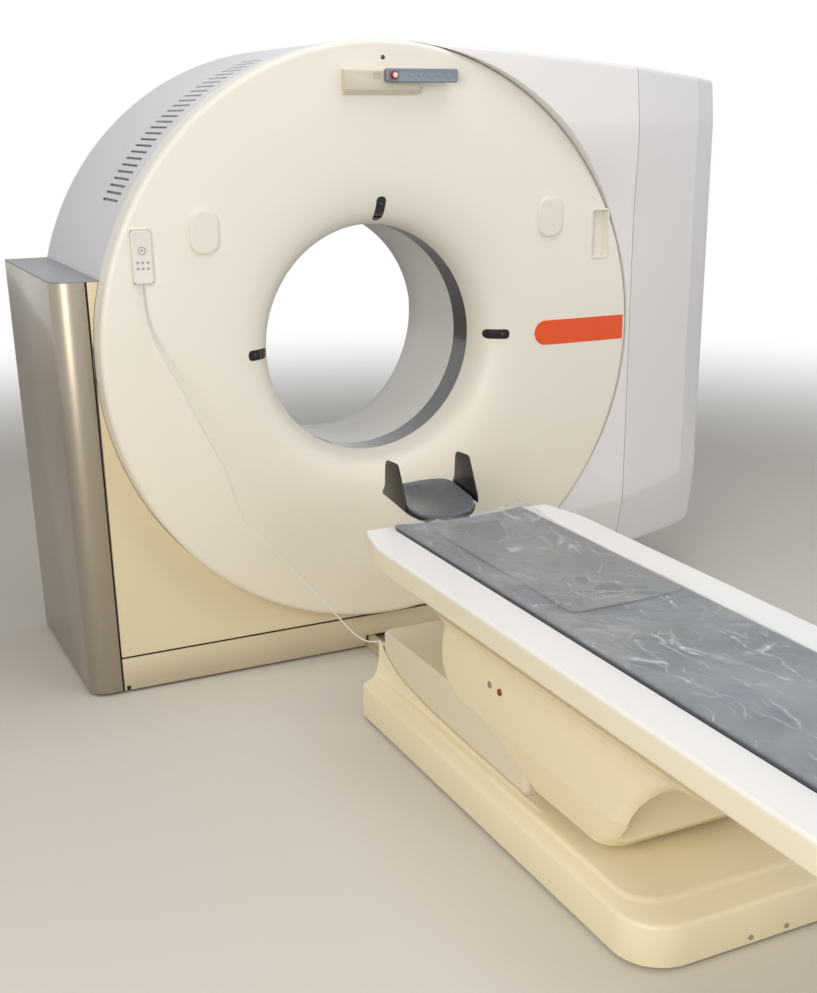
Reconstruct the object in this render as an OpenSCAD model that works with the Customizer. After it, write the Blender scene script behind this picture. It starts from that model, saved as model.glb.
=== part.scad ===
// Computed tomography scanner: ring-shaped gantry with a patient table that lifts and feeds the bore.
// Millimetres. +Z is up, the bore axis runs along Y, and the table lies on the -Y side.
// The origin is the floor point straight below the isocentre.

/* [Bore] */
// Clear diameter of the patient tunnel
bore_d = 700; // [660:1:740]
// Height of the isocentre above the floor
iso_h = 1010; // [1000:1:1040]
// Width of the dark scan window band
window_w = 97; // [60:1:120]
// Distance from the scan plane to the front face of the gantry
face_y = 200; // [190:1:230]
// Distance from the scan plane to the rear face of the gantry
rear_y = 620; // [600:1:700]

/* [Front cover] */
// Radius of the round front cover and of the drum behind it
disc_r = 867; // [860:1:880]
// How far the round front cover stands in front of the lower panels
disc_proud = 85; // [60:1:100]
// Radius of the fine crease where the funnel starts
crease_r = 690; // [670:1:740]
// Wall of the moulded covers
wall = 5; // [4:0.5:7]
// Depth of the funnel's first, nearly flat stretch
funnel_dish = 8; // [4:1:20]

/* [Gantry housing] */
// Distance from the bore axis to the left side of the housing
left_x = 968; // [950:1:1000]
// Height of the left shoulder
shoulder_h = 1245; // [1200:1:1280]
// Distance from the bore axis to the gap beside the lower front panel
left_gap_x = 872; // [865:1:890]
// Width of the dark gaps between the lower panels
gap_w = 6; // [3:0.5:9]
// Radius of the rounded upright corner of the side cover
corner_r = 55; // [40:1:70]
// Height of the kick plate's top edge
kick_top = 112; // [100:1:130]
// Clearance between the covers and the floor
floor_gap = 8; // [4:1:12]
// Distance from the bore axis to the right-hand end of the lower front panel
panel_right = 360; // [350:1:364]
// Distance from the bore axis to the right-hand end of the plinth
plinth_right = 720; // [710:1:760]

/* [Right wing] */
// Distance from the bore axis to the far right edge of the wing
wing_x = 1364; // [1340:1:1400]
// Height of the wing's underside
wing_low = 220; // [210:1:221]
// Fall of the wing's top edge per millimetre to the right
wing_fall = 0.085; // [0.075:0.001:0.095]
// How far the wing's outer edge is swept back
wing_sweep = 165; // [140:1:200]
// How far the wing's shoulder stands in front of the round cover
wing_bulge = 110; // [60:1:120]
// Distance from the bore axis to the upright seam in the wing
seam_x = 880; // [876:1:900]
// Width of the wing's seam
seam_w = 3; // [2:0.5:4]
// Rounding of the wing's outer edge
wing_round = 70; // [40:1:90]

/* [Vents] */
// Number of vent slots on the drum
vent_count = 27; // [12:1:27]
// Width of one vent slot
vent_w = 8; // [5:0.5:10]
// Length of one vent slot
vent_len = 185; // [120:1:200]
// Angle between neighbouring vent slots
vent_pitch = 1.5; // [1.4:0.05:1.6]

/* [Table] */
// Width of the table deck
deck_w = 644; // [640:1:660]
// Height of the table deck's top at its lowest
deck_top = 590; // [588:1:600]
// Thickness of the deck from top to underside
deck_t = 90; // [86:1:92]
// Distance from the scan plane to the gantry end of the deck
deck_y = 655; // [650:1:680]
// Length of the deck
deck_len = 2300; // [2260:1:2400]
// Width of the channel in which the cradle runs
channel_w = 424; // [420:1:440]
// Width of the cradle
cradle_w = 412; // [400:1:416]
// Thickness of the mattress at its middle
mattress_t = 26; // [20:1:30]
// Rise of the mattress from its middle to its edges
mattress_dish = 10; // [5:1:14]

/* [Table base] */
// Width of the base cover
base_w = 580; // [570:1:600]
// Distance from the scan plane to the gantry end of the base cover
base_y = 616; // [610:1:622]
// Length of the base cover
base_len = 1434; // [1420:1:1480]
// Height of the base cover's upright wall
base_wall_h = 105; // [95:1:112]
// Height of the plate inside the base cover
base_plate_h = 130; // [124:1:134]
// Rounding of the base cover's far corners
base_corner = 110; // [80:1:130]
// Travel of the lift
lift_travel = 320; // [280:1:325]
// Height of the middle skirt's top when the table is lowest
skirt_top = 270; // [264:1:272]
// Width of the middle skirt
skirt_w = 452; // [444:1:454]

/* [Head holder] */
// Inner radius of the head trough
head_r = 112; // [104:1:116]
// Length of the head trough
head_len = 290; // [270:1:300]
// Height of the tips of the head holder's wings
head_tip_h = 720; // [705:1:735]

/* [Controls] */
// Width of a tablet pad
pad_w = 84; // [70:1:90]
// Height of a tablet pad
pad_h = 120; // [100:1:130]
// Distance of the tablet pads from the bore axis
pad_x = 552; // [540:1:560]
// Height of the tablet pads above the isocentre
pad_up = 358; // [345:1:370]
// Width of the docks in the front cover
dock_w = 64; // [60:1:70]
// Height of the docks in the front cover
dock_h = 152; // [145:1:160]
// Distance of the left dock from the bore axis
dock_left_x = 732; // [724:1:736]
// Distance of the right dock from the bore axis
dock_right_x = 753; // [745:1:757]
// Height of the docks above the isocentre
dock_up = 299; // [290:1:304]
// Height of the coloured band
band_h = 78; // [60:1:90]
// Distance from the bore axis to the band's rounded end
band_x = 520; // [495:1:535]
// Travel of the emergency stop button
stop_travel = 5; // [3:0.5:6]
// Travel of the small buttons on the table
key_travel = 3; // [2:0.5:4]
// Diameter of the handset's cord
cord_d = 5; // [4:0.5:6]

/* [Hidden] */
$fn = 64;

fit = 0.3;                          // clearance between two pieces that touch
bore_r = bore_d / 2;
win = window_w / 2;
front_y = -face_y;
panel_y = front_y + disc_proud;     // front of the lower panels
box_left = -left_x;
drum_r = disc_r - wall;             // inside of the covers' round part

// Funnel: a curve in (radius, y), and the same curve moved into the wall by o
funnel_turn = 250;                  // length over which the funnel turns into the bore
funnel = [[crease_r, front_y], [crease_r - funnel_turn, front_y + funnel_dish],
    [bore_r, front_y + funnel_dish / 2], [bore_r, -win - fit]];
flare = [[bore_r, 250], [bore_r, 400], [bore_r + 60, 560], [bore_r + 170, rear_y - wall - fit]];
function bez(p, u) = pow(1 - u, 3) * p[0] + 3 * pow(1 - u, 2) * u * p[1]
    + 3 * (1 - u) * u * u * p[2] + pow(u, 3) * p[3];
function bez_way(p, u) = pow(1 - u, 2) * (p[1] - p[0]) + 2 * (1 - u) * u * (p[2] - p[1])
    + u * u * (p[3] - p[2]);
function beside(v) = [v[1], -v[0]] / norm(v);
function moved(p, o, n) = [for (i = [0:n]) bez(p, i / n) + o * beside(bez_way(p, i / n))];
function back(list) = [for (i = [len(list) - 1:-1:0]) list[i]];
function face(o) = concat([[disc_r, front_y + o]], moved(funnel, o, 14));

module on_axis() translate([0, 0, iso_h]) rotate([-90, 0, 0]) children();
module spin(points) on_axis() rotate_extrude($fn = 96) polygon(points);
module ring(r0, r1, y0, y1) spin([[r0, y0], [r1, y0], [r1, y1], [r0, y1]]);
module at_angle(a) translate([0, 0, iso_h]) rotate([0, -a, 0]) children();
// A flat shape drawn in (x, z), reaching from y0 to y1
module along_y(y0, y1) translate([0, y1, 0]) rotate([90, 0, 0]) linear_extrude(y1 - y0) children();
// A flat shape drawn in (y, z), reaching from x0 to x1
module along_x(x0, x1) translate([x0, 0, 0]) rotate([90, 0, 90]) linear_extrude(x1 - x0) children();
module box(a, b) translate(a) cube(b - a);
module rod(p, r, h, way = [0, 0, 0]) translate(p) rotate(way) cylinder(r = r, h = h);
module rounded(w, h, r) translate([-w / 2, -h / 2]) {
    translate([r, 0]) square([w - 2 * r, h]);
    translate([0, r]) square([w, h - 2 * r]);
    for (x = [r, w - r], y = [r, h - r]) translate([x, y]) circle(r, $fn = 32);
}
// A body that runs through a list of loops with the same number of points each
module loft(loops) {
    n = len(loops[0]);
    m = len(loops);
    polyhedron(
        points = [for (l = loops, p = l) p],
        faces = concat(
            [[for (i = [0:n - 1]) i]],
            [[for (i = [n - 1:-1:0]) (m - 1) * n + i]],
            [for (j = [0:m - 2], i = [0:n - 1]) let (k = (i + 1) % n)
                each [[j * n + i, (j + 1) * n + k, j * n + k],
                    [j * n + i, (j + 1) * n + i, (j + 1) * n + k]]]),
        convexity = 6);
}
// Rounded rectangle as a loop at height z, with its own rounding at either end
function loop_at(z, w, y0, y1, r0, r1) = concat(
    [for (a = [0:15:90]) [w - r1 + r1 * cos(a), y1 - r1 + r1 * sin(a), z]],
    [for (a = [90:15:180]) [-w + r1 + r1 * cos(a), y1 - r1 + r1 * sin(a), z]],
    [for (a = [180:15:270]) [-w + r0 + r0 * cos(a), y0 + r0 + r0 * sin(a), z]],
    [for (a = [270:15:360]) [w - r0 + r0 * cos(a), y0 + r0 + r0 * sin(a), z]]);

// Gantry frame and rotor
base_top = 112;
anchor_xs = [-840, 630];
anchor_ys = [-20, 540];
plate_y = 130;                      // front face of the rotor plate
plate_t = 34;
stator_y = 236;
stator_t = 38;
race_r = 378;                       // inside of everything that turns
rotor_r = 800;
split_r = 412;                      // gap between the two bearing rings
focus_r = 600;                      // focal spot to isocentre
arc_r = 1080;                       // focal spot to detector
hub_end = 352;

module gantry_base() color([0.3, 0.31, 0.33]) difference() {
    union() {
        for (y = [-60, 500]) box([-880, y, 22], [690, y + 80, base_top]);
        box([690, 200, 22], [1180, 280, base_top]);
        box([690, 500, 22], [1180, 580, base_top]);
        for (x = [-880, -420, 330, 610]) box([x, 20, 22], [x + 80, 500, base_top]);
        box([1100, 280, 22], [1180, 500, base_top]);
        for (x = anchor_xs, y = anchor_ys) box([x - 75, y - 50, 0], [x + 75, y + 50, 22]);
        box([-75, -60, 0], [75, 20, 22]);
        for (y = [240, 540]) box([1065, y - 40, 0], [1215, y + 40, 22]);
    }
    for (x = anchor_xs, y = anchor_ys) rod([x, y, -1], 9, 200);
}

module cover_frame() color([0.4, 0.41, 0.43]) {
    for (y = [-60, 540]) box([-930, y, base_top], [-890, y + 40, shoulder_h - 30]);
    box([-930, -20, shoulder_h - 70], [-890, 540, shoulder_h - 30]);
    box([-930, -60, 60], [-880.3, 580, base_top]);
    for (y = [215, 540]) box([1120, y, base_top], [1160, y + 40, 1650]);
    box([1120, 255, 1610], [1160, 540, 1650]);
    for (z = [600, 1500]) box([1160, 215, z], [wing_x - wall - fit, 245, z + 40]);
    for (z = [300, 900]) box([corner_r - left_x + 1, panel_y + wall, z], [-890, -60, z + 40]);
    for (x = [-800, -300, 200]) {
        box([x, panel_y + wall, 40], [x + 30, -60, 96]);
        box([x, panel_y + wall, 130], [x + 30, -40, 170]);
        box([x, -60 + fit, base_top], [x + 30, -40, 130]);
    }
}

module power_unit() color([0.62, 0.64, 0.66]) difference() {
    box([910, 270, base_top], [1110, 538, iso_h + 230]);
    for (i = [0:9]) box([940, 260, iso_h - 590 + i * 40], [1080, 273, iso_h - 574 + i * 40]);
}

module stator_frame() color([0.36, 0.38, 0.42]) difference() {
    union() {
        ring(split_r + 34, 838, stator_y, stator_y + stator_t);
        for (s = [-1, 1]) along_y(stator_y, stator_y + stator_t)
            polygon([[s * 345, base_top], [s * 150, base_top], [s * 150, 420],
                [s * 600, 420], [s * 345, 222]]);
        for (s = [-1, 1]) box([s * 250 - 90, stator_y - 140, base_top], [s * 250 + 90, 510, base_top + 22]);
        for (a = [45:90:315]) at_angle(a) box([812, front_y + wall + fit, -30], [834, stator_y, 30]);
    }
    for (a = [15:30:345]) at_angle(a) rod([640, stator_y - 1, 0], 60, stator_t + 2, [-90, 0, 0]);
    for (s = [-1, 1], y = [130, 470]) rod([s * 250, y, base_top - 1], 11, 30);
}

module bearing_outer() color([0.7, 0.72, 0.74]) difference() {
    spin([[split_r + 0.5, 172], [split_r + 60, 172], [split_r + 60, stator_y],
        [split_r + 34 - fit, stator_y], [split_r + 34 - fit, stator_y + 20],
        [split_r + 0.5, stator_y + 20]]);
    for (a = [0:20:340]) at_angle(a) rod([split_r + 47, 160, 0], 6, 60, [-90, 0, 0]);
}

module bearing_inner() color([0.76, 0.78, 0.8]) difference() {
    spin([[race_r, plate_y + plate_t], [split_r - 0.5, plate_y + plate_t], [split_r - 0.5, stator_y + 20],
        [race_r + 10, stator_y + 20], [race_r + 10, hub_end], [race_r, hub_end]]);
    for (a = [10:20:350]) at_angle(a) rod([race_r + 17, stator_y, 0], 5, 30, [-90, 0, 0]);
}

module drive_coils() color([0.72, 0.45, 0.2]) difference() {
    ring(716, 770, 178, stator_y);
    for (a = [0:10:350]) at_angle(a) box([714, 177, -5], [752, 222, 5]);
}

module drive_magnets() color([0.5, 0.52, 0.55]) difference() {
    ring(688, 713, plate_y + plate_t, 226);
    for (a = [0:12:348]) at_angle(a) box([704, 190, -4], [716, 230, 4]);
}

module rotor_drum() color([0.45, 0.47, 0.5]) difference() {
    union() {
        ring(race_r, rotor_r, plate_y, plate_y + plate_t);
        ring(rotor_r - 14, rotor_r, -110, plate_y);
        ring(race_r, race_r + 12, 70, plate_y);
    }
    for (a = [30, 60, 120, 150, 210, 330])
        at_angle(a) rod([590, plate_y - 1, 0], 85, plate_t + 2, [-90, 0, 0]);
    for (a = [0:45:315]) at_angle(a + 20) rod([rotor_r - 20, 20, 0], 40, 40, [0, 90, 0]);
}

module slip_ring() color([0.75, 0.6, 0.3]) difference() {
    ring(race_r + 10 + fit, race_r + 34, 286, hub_end);
    for (y = [292:11:347]) ring(race_r + 29, race_r + 36, y, y + 5);
}

module brush_block() color([0.2, 0.21, 0.22]) at_angle(250) {
    box([race_r + 70, stator_y + stator_t, -60], [race_r + 110, hub_end, 60]);
    for (z = [-45, -15, 15, 45]) box([race_r + 35, 290, z - 8], [race_r + 70, 346, z + 8]);
}

module xray_tube() color([0.75, 0.77, 0.8]) at_angle(90) difference() {
    union() {
        rod([focus_r + 60, -84, 0], 104, plate_y + 84 - fit, [-90, 0, 0]);
        rod([focus_r + 60, -100, 0], 62, 18, [-90, 0, 0]);
        box([focus_r - 66, -40, -70], [focus_r + 20, 40, 70]);
        for (i = [0:5]) rod([focus_r + 60, -50 + i * 26, 0], 112, 7, [-90, 0, 0]);
    }
    box([focus_r - 70, -12, -50], [focus_r - 50, 12, 50]);
}

module collimator() color([0.3, 0.3, 0.33]) at_angle(90) difference() {
    union() {
        box([race_r + 40, -55, -150], [focus_r - 66 - fit, 55, 150]);
        box([race_r + 60, 55, -130], [focus_r - 100, plate_y - fit, 130]);
    }
    box([race_r + 30, -6, -120], [focus_r - 60, 6, 120]);
    box([race_r + 70, -60, 95], [race_r + 130, -40, 130]);
}

module detector_arc() color([0.55, 0.58, 0.62]) translate([0, 0, iso_h + focus_r]) rotate([-90, 0, 0])
    difference() {
        union() {
            rotate([0, 0, 63]) rotate_extrude(angle = 54, $fn = 240)
                translate([arc_r, -62]) square([70, 124]);
            rotate([0, 0, 66]) rotate_extrude(angle = 48, $fn = 240)
                translate([arc_r + 20, 61]) square([46, plate_y - 61 - fit]);
        }
        for (i = [0:25]) rotate([0, 0, 64.5 + i * 2.04]) translate([arc_r - 1, -50, -70])
            translate([0, 49, 7]) cube([13, 2, 126]);
    }

module hv_generator() color([0.6, 0.62, 0.66]) difference() {
    union() {
        box([-740, -88, iso_h - 150], [-480, plate_y - fit, iso_h + 150]);
        rod([-610, -88, iso_h + 60], 30, 12, [90, 0, 0]);
        rod([-610, -88, iso_h - 60], 30, 12, [90, 0, 0]);
    }
    for (i = [0:7]) box([-742, -60, iso_h - 120 + i * 32], [-728, 100, iso_h - 106 + i * 32]);
}

module cooling_unit() color([0.35, 0.4, 0.45]) difference() {
    box([480, -88, iso_h - 150], [740, plate_y - fit, iso_h + 150]);
    for (z = [-75, 75]) rod([610, -95, iso_h + z], 62, 40, [-90, 0, 0]);
    for (i = [0:11]) box([730, -70, iso_h - 140 + i * 24], [745, 110, iso_h - 128 + i * 24]);
}

// Gantry covers
rim_round = 16;
rear_hole = bore_r + 170;
drum_gap = 1;
shoulder_t = 4;
wing_clear = disc_r + 2;

module front_cover() color([0.93, 0.91, 0.86]) difference() {
    spin(concat(
        [[disc_r, panel_y - fit]],
        [for (a = [0:30:90]) [disc_r - rim_round + rim_round * cos(a),
            front_y + rim_round - rim_round * sin(a)]],
        moved(funnel, 0, 14), back(moved(funnel, wall, 14)),
        [[disc_r - rim_round - 2, front_y + wall], [drum_r, front_y + rim_round + 2],
            [drum_r, panel_y - fit]]));
    for (a = window_angles) laser_plan(a, 0);
    for (x = [-dock_left_x, dock_right_x]) along_y(front_y - 5, front_y + 30)
        translate([x, iso_h + dock_up]) rounded(dock_w, dock_h, 10);
    rod([4, front_y - 1, iso_h + 817], 7, 20, [-90, 0, 0]);
}

window_angles = [0, 90, 180];
window_mid = 400;
module laser_plan(a, o) at_angle(a) translate([window_mid, 0, 0]) along_y(-260, 0)
    rounded(66 - 2 * o, 22 - 2 * o, 10 - o);

module optical_windows() color([0.03, 0.03, 0.035]) {
    difference() {
        intersection() {
            spin(concat(moved(funnel, 1.5, 14), back(moved(funnel, wall, 14))));
            for (a = window_angles) laser_plan(a, fit);
        }
        for (a = window_angles) at_angle(a) rod([window_mid + 14, -260, 0], 4, 200, [-90, 0, 0]);
    }
    rod([4, front_y + 1, iso_h + 817], 7 - fit, wall - 1, [-90, 0, 0]);
}

module scan_window() color([0.13, 0.13, 0.15])
    spin([[bore_r, -win], [bore_r + 3.5, -win], [bore_r + 3.5, win], [bore_r, win]]);

module rear_tunnel() color([0.92, 0.91, 0.88])
    spin(concat([[bore_r, win + fit]], moved(flare, 0, 12), back(moved(flare, wall, 12)),
        [[bore_r + wall, win + fit]]));

module rear_cover() color([0.85, 0.85, 0.84]) difference() {
    along_y(rear_y - wall, rear_y) difference() {
        union() {
            translate([0, iso_h]) circle(disc_r, $fn = 96);
            translate([-left_x, floor_gap]) square([left_x + plinth_right, 500]);
            translate([-left_x, floor_gap]) square([left_x, shoulder_h - floor_gap]);
            polygon(concat([for (x = [100:60:1300]) [x, wing_top(x)]], [[wing_x, wing_top(wing_x)],
                [wing_x, wing_low + 90], [wing_x - 26, wing_low + 26],
                [wing_x - 90, wing_low], [100, wing_low]]));
        }
        translate([0, iso_h]) circle(rear_hole + fit, $fn = 96);
    }
    for (s = [-1, 1]) box([s * 600 - 2, rear_y - 2, 0], [s * 600 + 2, rear_y + 1, iso_h + disc_r + 50]);
    for (x = [-500:40:-180], z = [250, 300, 350]) box([x, rear_y - 20, z], [x + 26, rear_y + 1, z + 10]);
    for (x = [960:30:1230]) box([x, rear_y - 20, 420], [x + 12, rear_y + 1, 620]);
}

module drum_shell() color([0.93, 0.92, 0.89]) difference() {
    on_axis() rotate([0, 0, -220]) rotate_extrude(angle = 260, $fn = 120)
        polygon([[drum_r, panel_y + drum_gap], [disc_r, panel_y + drum_gap],
            [disc_r, rear_y - wall - fit], [drum_r, rear_y - wall - fit]]);
    for (i = [0:vent_count - 1]) at_angle(149.6 - i * vent_pitch)
        box([drum_r - 10, -45, -vent_w / 2], [disc_r + 10, vent_len - 45, vent_w / 2]);
}

// Wing: the front surface as a depth over (x, z), then a body whose skin lies o inside it
function wing_top(x) = iso_h + disc_r - wing_fall * x * x / (x + 120);
function smooth(t) = let (c = min(1, max(0, t))) c * c * (3 - 2 * c);
function swell(x) = x < 400 ? max(0.25, 1 - pow((400 - x) / 265, 2)) : exp(-pow((x - 400) / 427, 2));
function sweep_back(x) = let (t = max(0, (x - 880) / (wing_x - 880)))
    wing_sweep * (0.82 * t + 0.18 * t * t);
function wing_y(x, z) = front_y + sweep_back(x)
    - wing_bulge * swell(x) * smooth((z - 1300) / 320)
    + max(0, z - 1640) * 0.123 + 0.24 * norm([1.2 * max(0, x - 1190), max(0, 410 + 0.12 * (x - 880) - z)])
    + 12 * smooth((900 - z) / 400) * smooth((920 - x) / 200);
function edge(d, r) = d >= r ? 0 : r - sqrt(max(0, r * r - pow(r - d, 2)));
wing_xs = [100, 150, 200, 250, 300, 360, 430, 510, 590, 670, 750, 820, 875.5, 890, 960, 1060,
    1130, 1190, 1240, wing_x - 70, wing_x - 52, wing_x - 36, wing_x - 22, wing_x - 12, wing_x - 5, wing_x];
wing_us = [0, 0.003, 0.01, 0.04, 0.08, 0.115, 0.13, 0.16, 0.3, 0.45, 0.6, 0.66, 0.72, 0.78,
    0.82, 0.86, 0.9, 0.94, 0.975, 0.99, 0.997, 1];
module wing_body(o, y_end) loft([for (x0 = wing_xs)
    let (x = min(x0, wing_x) - o * max(0, (x0 - wing_x + 70) / 70),
        low = wing_low + o + edge(wing_x - x0, 90),
        high = wing_top(x) - o,
        side = edge(wing_x - x0, wing_round))
    concat([[x, y_end, low], [x, y_end, high]],
        [for (i = [len(wing_us) - 1:-1:0]) let (z = low + (high - low) * wing_us[i])
            [x, wing_y(x, z) + o + side + edge(high - z, 14) + edge(z - low, 14), z]])]);
module wing_shell() difference() {
    wing_body(0, rear_y - wall - fit);
    box([900, 205, 200], [1220, 610, 240]);
    difference() {
        wing_body(wall, rear_y + 20);
        rod([0, -400, iso_h], wing_clear + wall, 1200, [-90, 0, 0]);
    }
    rod([0, -400, iso_h], wing_clear, 1200, [-90, 0, 0]);
}

module wing_front_cover() color([0.92, 0.91, 0.9]) intersection() {
    wing_shell();
    box([90, -400, 100], [seam_x - seam_w / 2, 700, 2000]);
}

module wing_side_cover() color([0.93, 0.92, 0.92]) intersection() {
    wing_shell();
    box([seam_x + seam_w / 2, -400, 100], [1500, 700, 2000]);
}

module side_plan(o, extra) {
    translate([corner_r - left_x, panel_y + corner_r]) circle(corner_r - o);
    translate([o - left_x, panel_y + corner_r])
        square([left_x - left_gap_x - o - gap_w / 2 + extra,
            rear_y - wall - fit - panel_y - corner_r + extra]);
    translate([corner_r - left_x - 1, panel_y + o])
        square([left_x - left_gap_x - corner_r + 1 - gap_w / 2 + extra, corner_r]);
}

module side_cover() color([0.6, 0.6, 0.6]) translate([0, 0, floor_gap])
    linear_extrude(shoulder_h - floor_gap - shoulder_t) difference() {
        side_plan(0, 0);
        side_plan(wall, 20);
    }

module shoulder_cover() color([0.62, 0.63, 0.66]) difference() {
    translate([0, 0, shoulder_h - shoulder_t]) linear_extrude(shoulder_t) union() {
        side_plan(0, 0);
        translate([-left_gap_x - 10, panel_y]) square([80, rear_y - wall - fit - panel_y]);
    }
    rod([0, -400, iso_h], wing_clear, 1200, [-90, 0, 0]);
}

module lower_front_panel() color([0.75, 0.73, 0.68]) along_y(panel_y, panel_y + wall) difference() {
    translate([gap_w / 2 - left_gap_x, kick_top + gap_w])
        square([left_gap_x - gap_w / 2 + panel_right, shoulder_h - shoulder_t - fit - kick_top - gap_w]);
    translate([0, iso_h]) circle(disc_r + 1.5, $fn = 96);
}

module kick_plate() color([0.72, 0.7, 0.64]) difference() {
    union() {
        box([gap_w / 2 - left_gap_x, panel_y, floor_gap], [panel_right, panel_y + wall, kick_top]);
        box([panel_right, panel_y, floor_gap], [panel_right + wall, -77, kick_top]);
        box([panel_right, -82, floor_gap], [plinth_right, -77, wing_low - 6]);
        box([plinth_right - wall, -77, floor_gap], [plinth_right, rear_y - wall - fit, wing_low - 6]);
    }
    for (y = [195, 495]) box([700, y, 0], [730, y + 90, base_top + 6]);
    box([-duct_w / 2 - 3, panel_y - 1, 0], [duct_w / 2 + 3, panel_y + wall + 1, 43]);
    box([-862, panel_y - 1, floor_gap - 1], [-850, panel_y + wall + 1, floor_gap + 14]);
}

module cover_gaskets() color([0.06, 0.05, 0.05]) {
    difference() {
        box([-left_gap_x - 14, panel_y + wall, floor_gap + 4],
            [-left_gap_x + 14, panel_y + wall + 5, shoulder_h - 12]);
        rod([0, -400, iso_h], wing_clear, 1200, [-90, 0, 0]);
    }
    box([-left_gap_x + 16, panel_y + wall, kick_top - 8],
        [panel_right - 4, panel_y + wall + 5, kick_top + gap_w + 8]);
    loft([for (i = [2:len(wing_us) - 3])
        let (z = wing_low + 12 + (wing_top(seam_x) - 24 - wing_low) * wing_us[i])
        [for (p = [[-4.5, 0.8], [12, 0.8], [12, 4], [-4.5, 4]])
            [seam_x + p[0], wing_y(seam_x + p[0], z) + wall + p[1], z]]]);
}

module colour_band() color([0.9, 0.3, 0.08]) intersection() {
    spin(concat([[disc_r - 1, front_y - 1.2]], moved(funnel, -1.2, 14), back(moved(funnel, -fit, 14)),
        [[disc_r - 1, front_y - fit]]));
    along_y(-260, 0) union() {
        translate([band_x + band_h / 2, iso_h - 3]) circle(band_h / 2);
        translate([band_x + band_h / 2, iso_h - 3 - band_h / 2])
            square([disc_r - rim_round - band_x - band_h / 2, band_h]);
    }
}

// Controls on the front cover
bar_z = iso_h + 768;
bar_y = front_y - 50;
bar_left = -6;
bar_w = 226;
bar_x = bar_left + bar_w / 2;
stop_x = bar_left + 21;
module intercom_box() color([0.83, 0.79, 0.7]) difference() {
    union() {
        along_x(bar_left - 119, bar_x) polygon([[front_y, bar_z - 50], [front_y - 12, bar_z - 50],
            [front_y - 26, bar_z - 38], [front_y - 26, bar_z + 12],
            [front_y - 16, bar_z + 16], [front_y, bar_z + 16]]);
        box([bar_x, front_y - 26, bar_z - 14], [bar_left + bar_w - 18, front_y, bar_z + 14]);
    }
    for (i = [0:3], z = [bar_z - 8:6:bar_z + 4])
        rod([bar_left - 12 - i * 6, front_y - 30, z], 1.6, 12, [-90, 0, 0]);
}

module control_bar() color([0.52, 0.55, 0.6]) difference() {
    union() {
        along_y(bar_y, front_y - 26) translate([bar_x, bar_z]) rounded(bar_w, 38, 9);
        rod([stop_x, bar_y - 3, bar_z], 16, 3, [-90, 0, 0]);
    }
    rod([stop_x, bar_y - 4, bar_z], 11, stop_travel + 11, [-90, 0, 0]);
    for (i = [0:4]) rod([stop_x + 52 + i * 30, bar_y - 1, bar_z], 6, 2, [-90, 0, 0]);
}

module emergency_button() color([0.75, 0.08, 0.06]) union() {
    rod([stop_x, bar_y - stop_travel - 4, bar_z], 10.5, stop_travel + 8, [-90, 0, 0]);
    rod([stop_x, bar_y - stop_travel - 6, bar_z], 8, 2, [-90, 0, 0]);
}

module tablet_pads() color([0.9, 0.88, 0.83]) for (s = [-1, 1]) {
    intersection() {
        spin(concat([[crease_r + 40, front_y - 9]], moved(funnel, -9, 14),
            back(moved(funnel, -fit, 14)), [[crease_r + 40, front_y - fit]]));
        along_y(-260, 0) translate([s > 0 ? pad_x + 14 : -pad_x, iso_h + pad_up]) rounded(pad_w, pad_h, 22);
    }
}

module dock_trays() color([0.88, 0.87, 0.84]) for (x = [-dock_left_x, dock_right_x]) along_tray(x);
module along_tray(x) difference() {
    union() {
        along_y(front_y - 1, front_y + 19) translate([x, iso_h + dock_up])
            rounded(dock_w - 2 * fit, dock_h - 2 * fit, 9.7);
        along_y(front_y - 2.5, front_y - fit) translate([x, iso_h + dock_up])
            rounded(dock_w + 2, dock_h + 2, 11);
    }
    along_y(front_y - 4, front_y + 16) translate([x, iso_h + dock_up])
        rounded(dock_w - 6, dock_h - 6, 7);
    along_y(front_y - 4, front_y + 9) translate([x, iso_h + dock_up - dock_h / 2])
        square([10, 14], center = true);
}

module handset() color([0.92, 0.92, 0.9]) difference() {
    union() {
        along_y(front_y - 10, front_y + 15.7) translate([-dock_left_x, iso_h + dock_up])
            rounded(dock_w - 8, dock_h - 9, 8);
        rod([-dock_left_x - 7, front_y - 7, iso_h + dock_up - dock_h / 2 + 0.5], 3.4, 5);
    }
    on_handset(18) difference() {
        rod([0, -2, 0], 15, 3, [-90, 0, 0]);
        rod([0, -3, 0], 9, 5, [-90, 0, 0]);
    }
    for (x = [-14, 0, 14], z = [-14, -30]) on_handset(z) rod([x, -1, 0], 4, 1.6, [-90, 0, 0]);
    rod([-dock_left_x - 7, front_y - 7, iso_h + dock_up - dock_h / 2], cord_d / 2 + fit, 3);
}
module on_handset(up) translate([-dock_left_x, front_y - 10, iso_h + dock_up + up]) children();

// Handset cord: straight stretches between points, with a loop at the table's end
cord_path = [[-739, -207, 1235.7], [-728, -215, 1115], [-658, -270, 936], [-617, -302, 829],
    [-575, -334, 723], [-535, -367, 577], [-470, -415, 485], [-411, -461, 404],
    [-368, -495, 353], [-331, -524, 305],
    [-300, -549, 262], [-275, -567, 235], [-254, -582, 224], [-236, -594, 224], [-222, -600, 222],
    [-212, -602, 213], [-206, -604, 200], [-204, -607, 186], [-203, -613, 179], [-203, -620, 178]];
cord_end = [-203, 178];
function unit(v) = v / norm(v);
module handset_cord() color([0.85, 0.84, 0.82]) {
    n = len(cord_path);
    q = [0.79, -0.61, 0];
    loft([for (i = [0:n - 1]) let (
        way = unit(cord_path[min(n - 1, i + 1)] - cord_path[max(0, i - 1)]),
        side = unit(cross(way, q)), up = cross(way, side))
        [for (a = [0:45:315]) cord_path[i] + cord_d / 2 * (cos(a) * side + sin(a) * up)]]);
}

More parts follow.
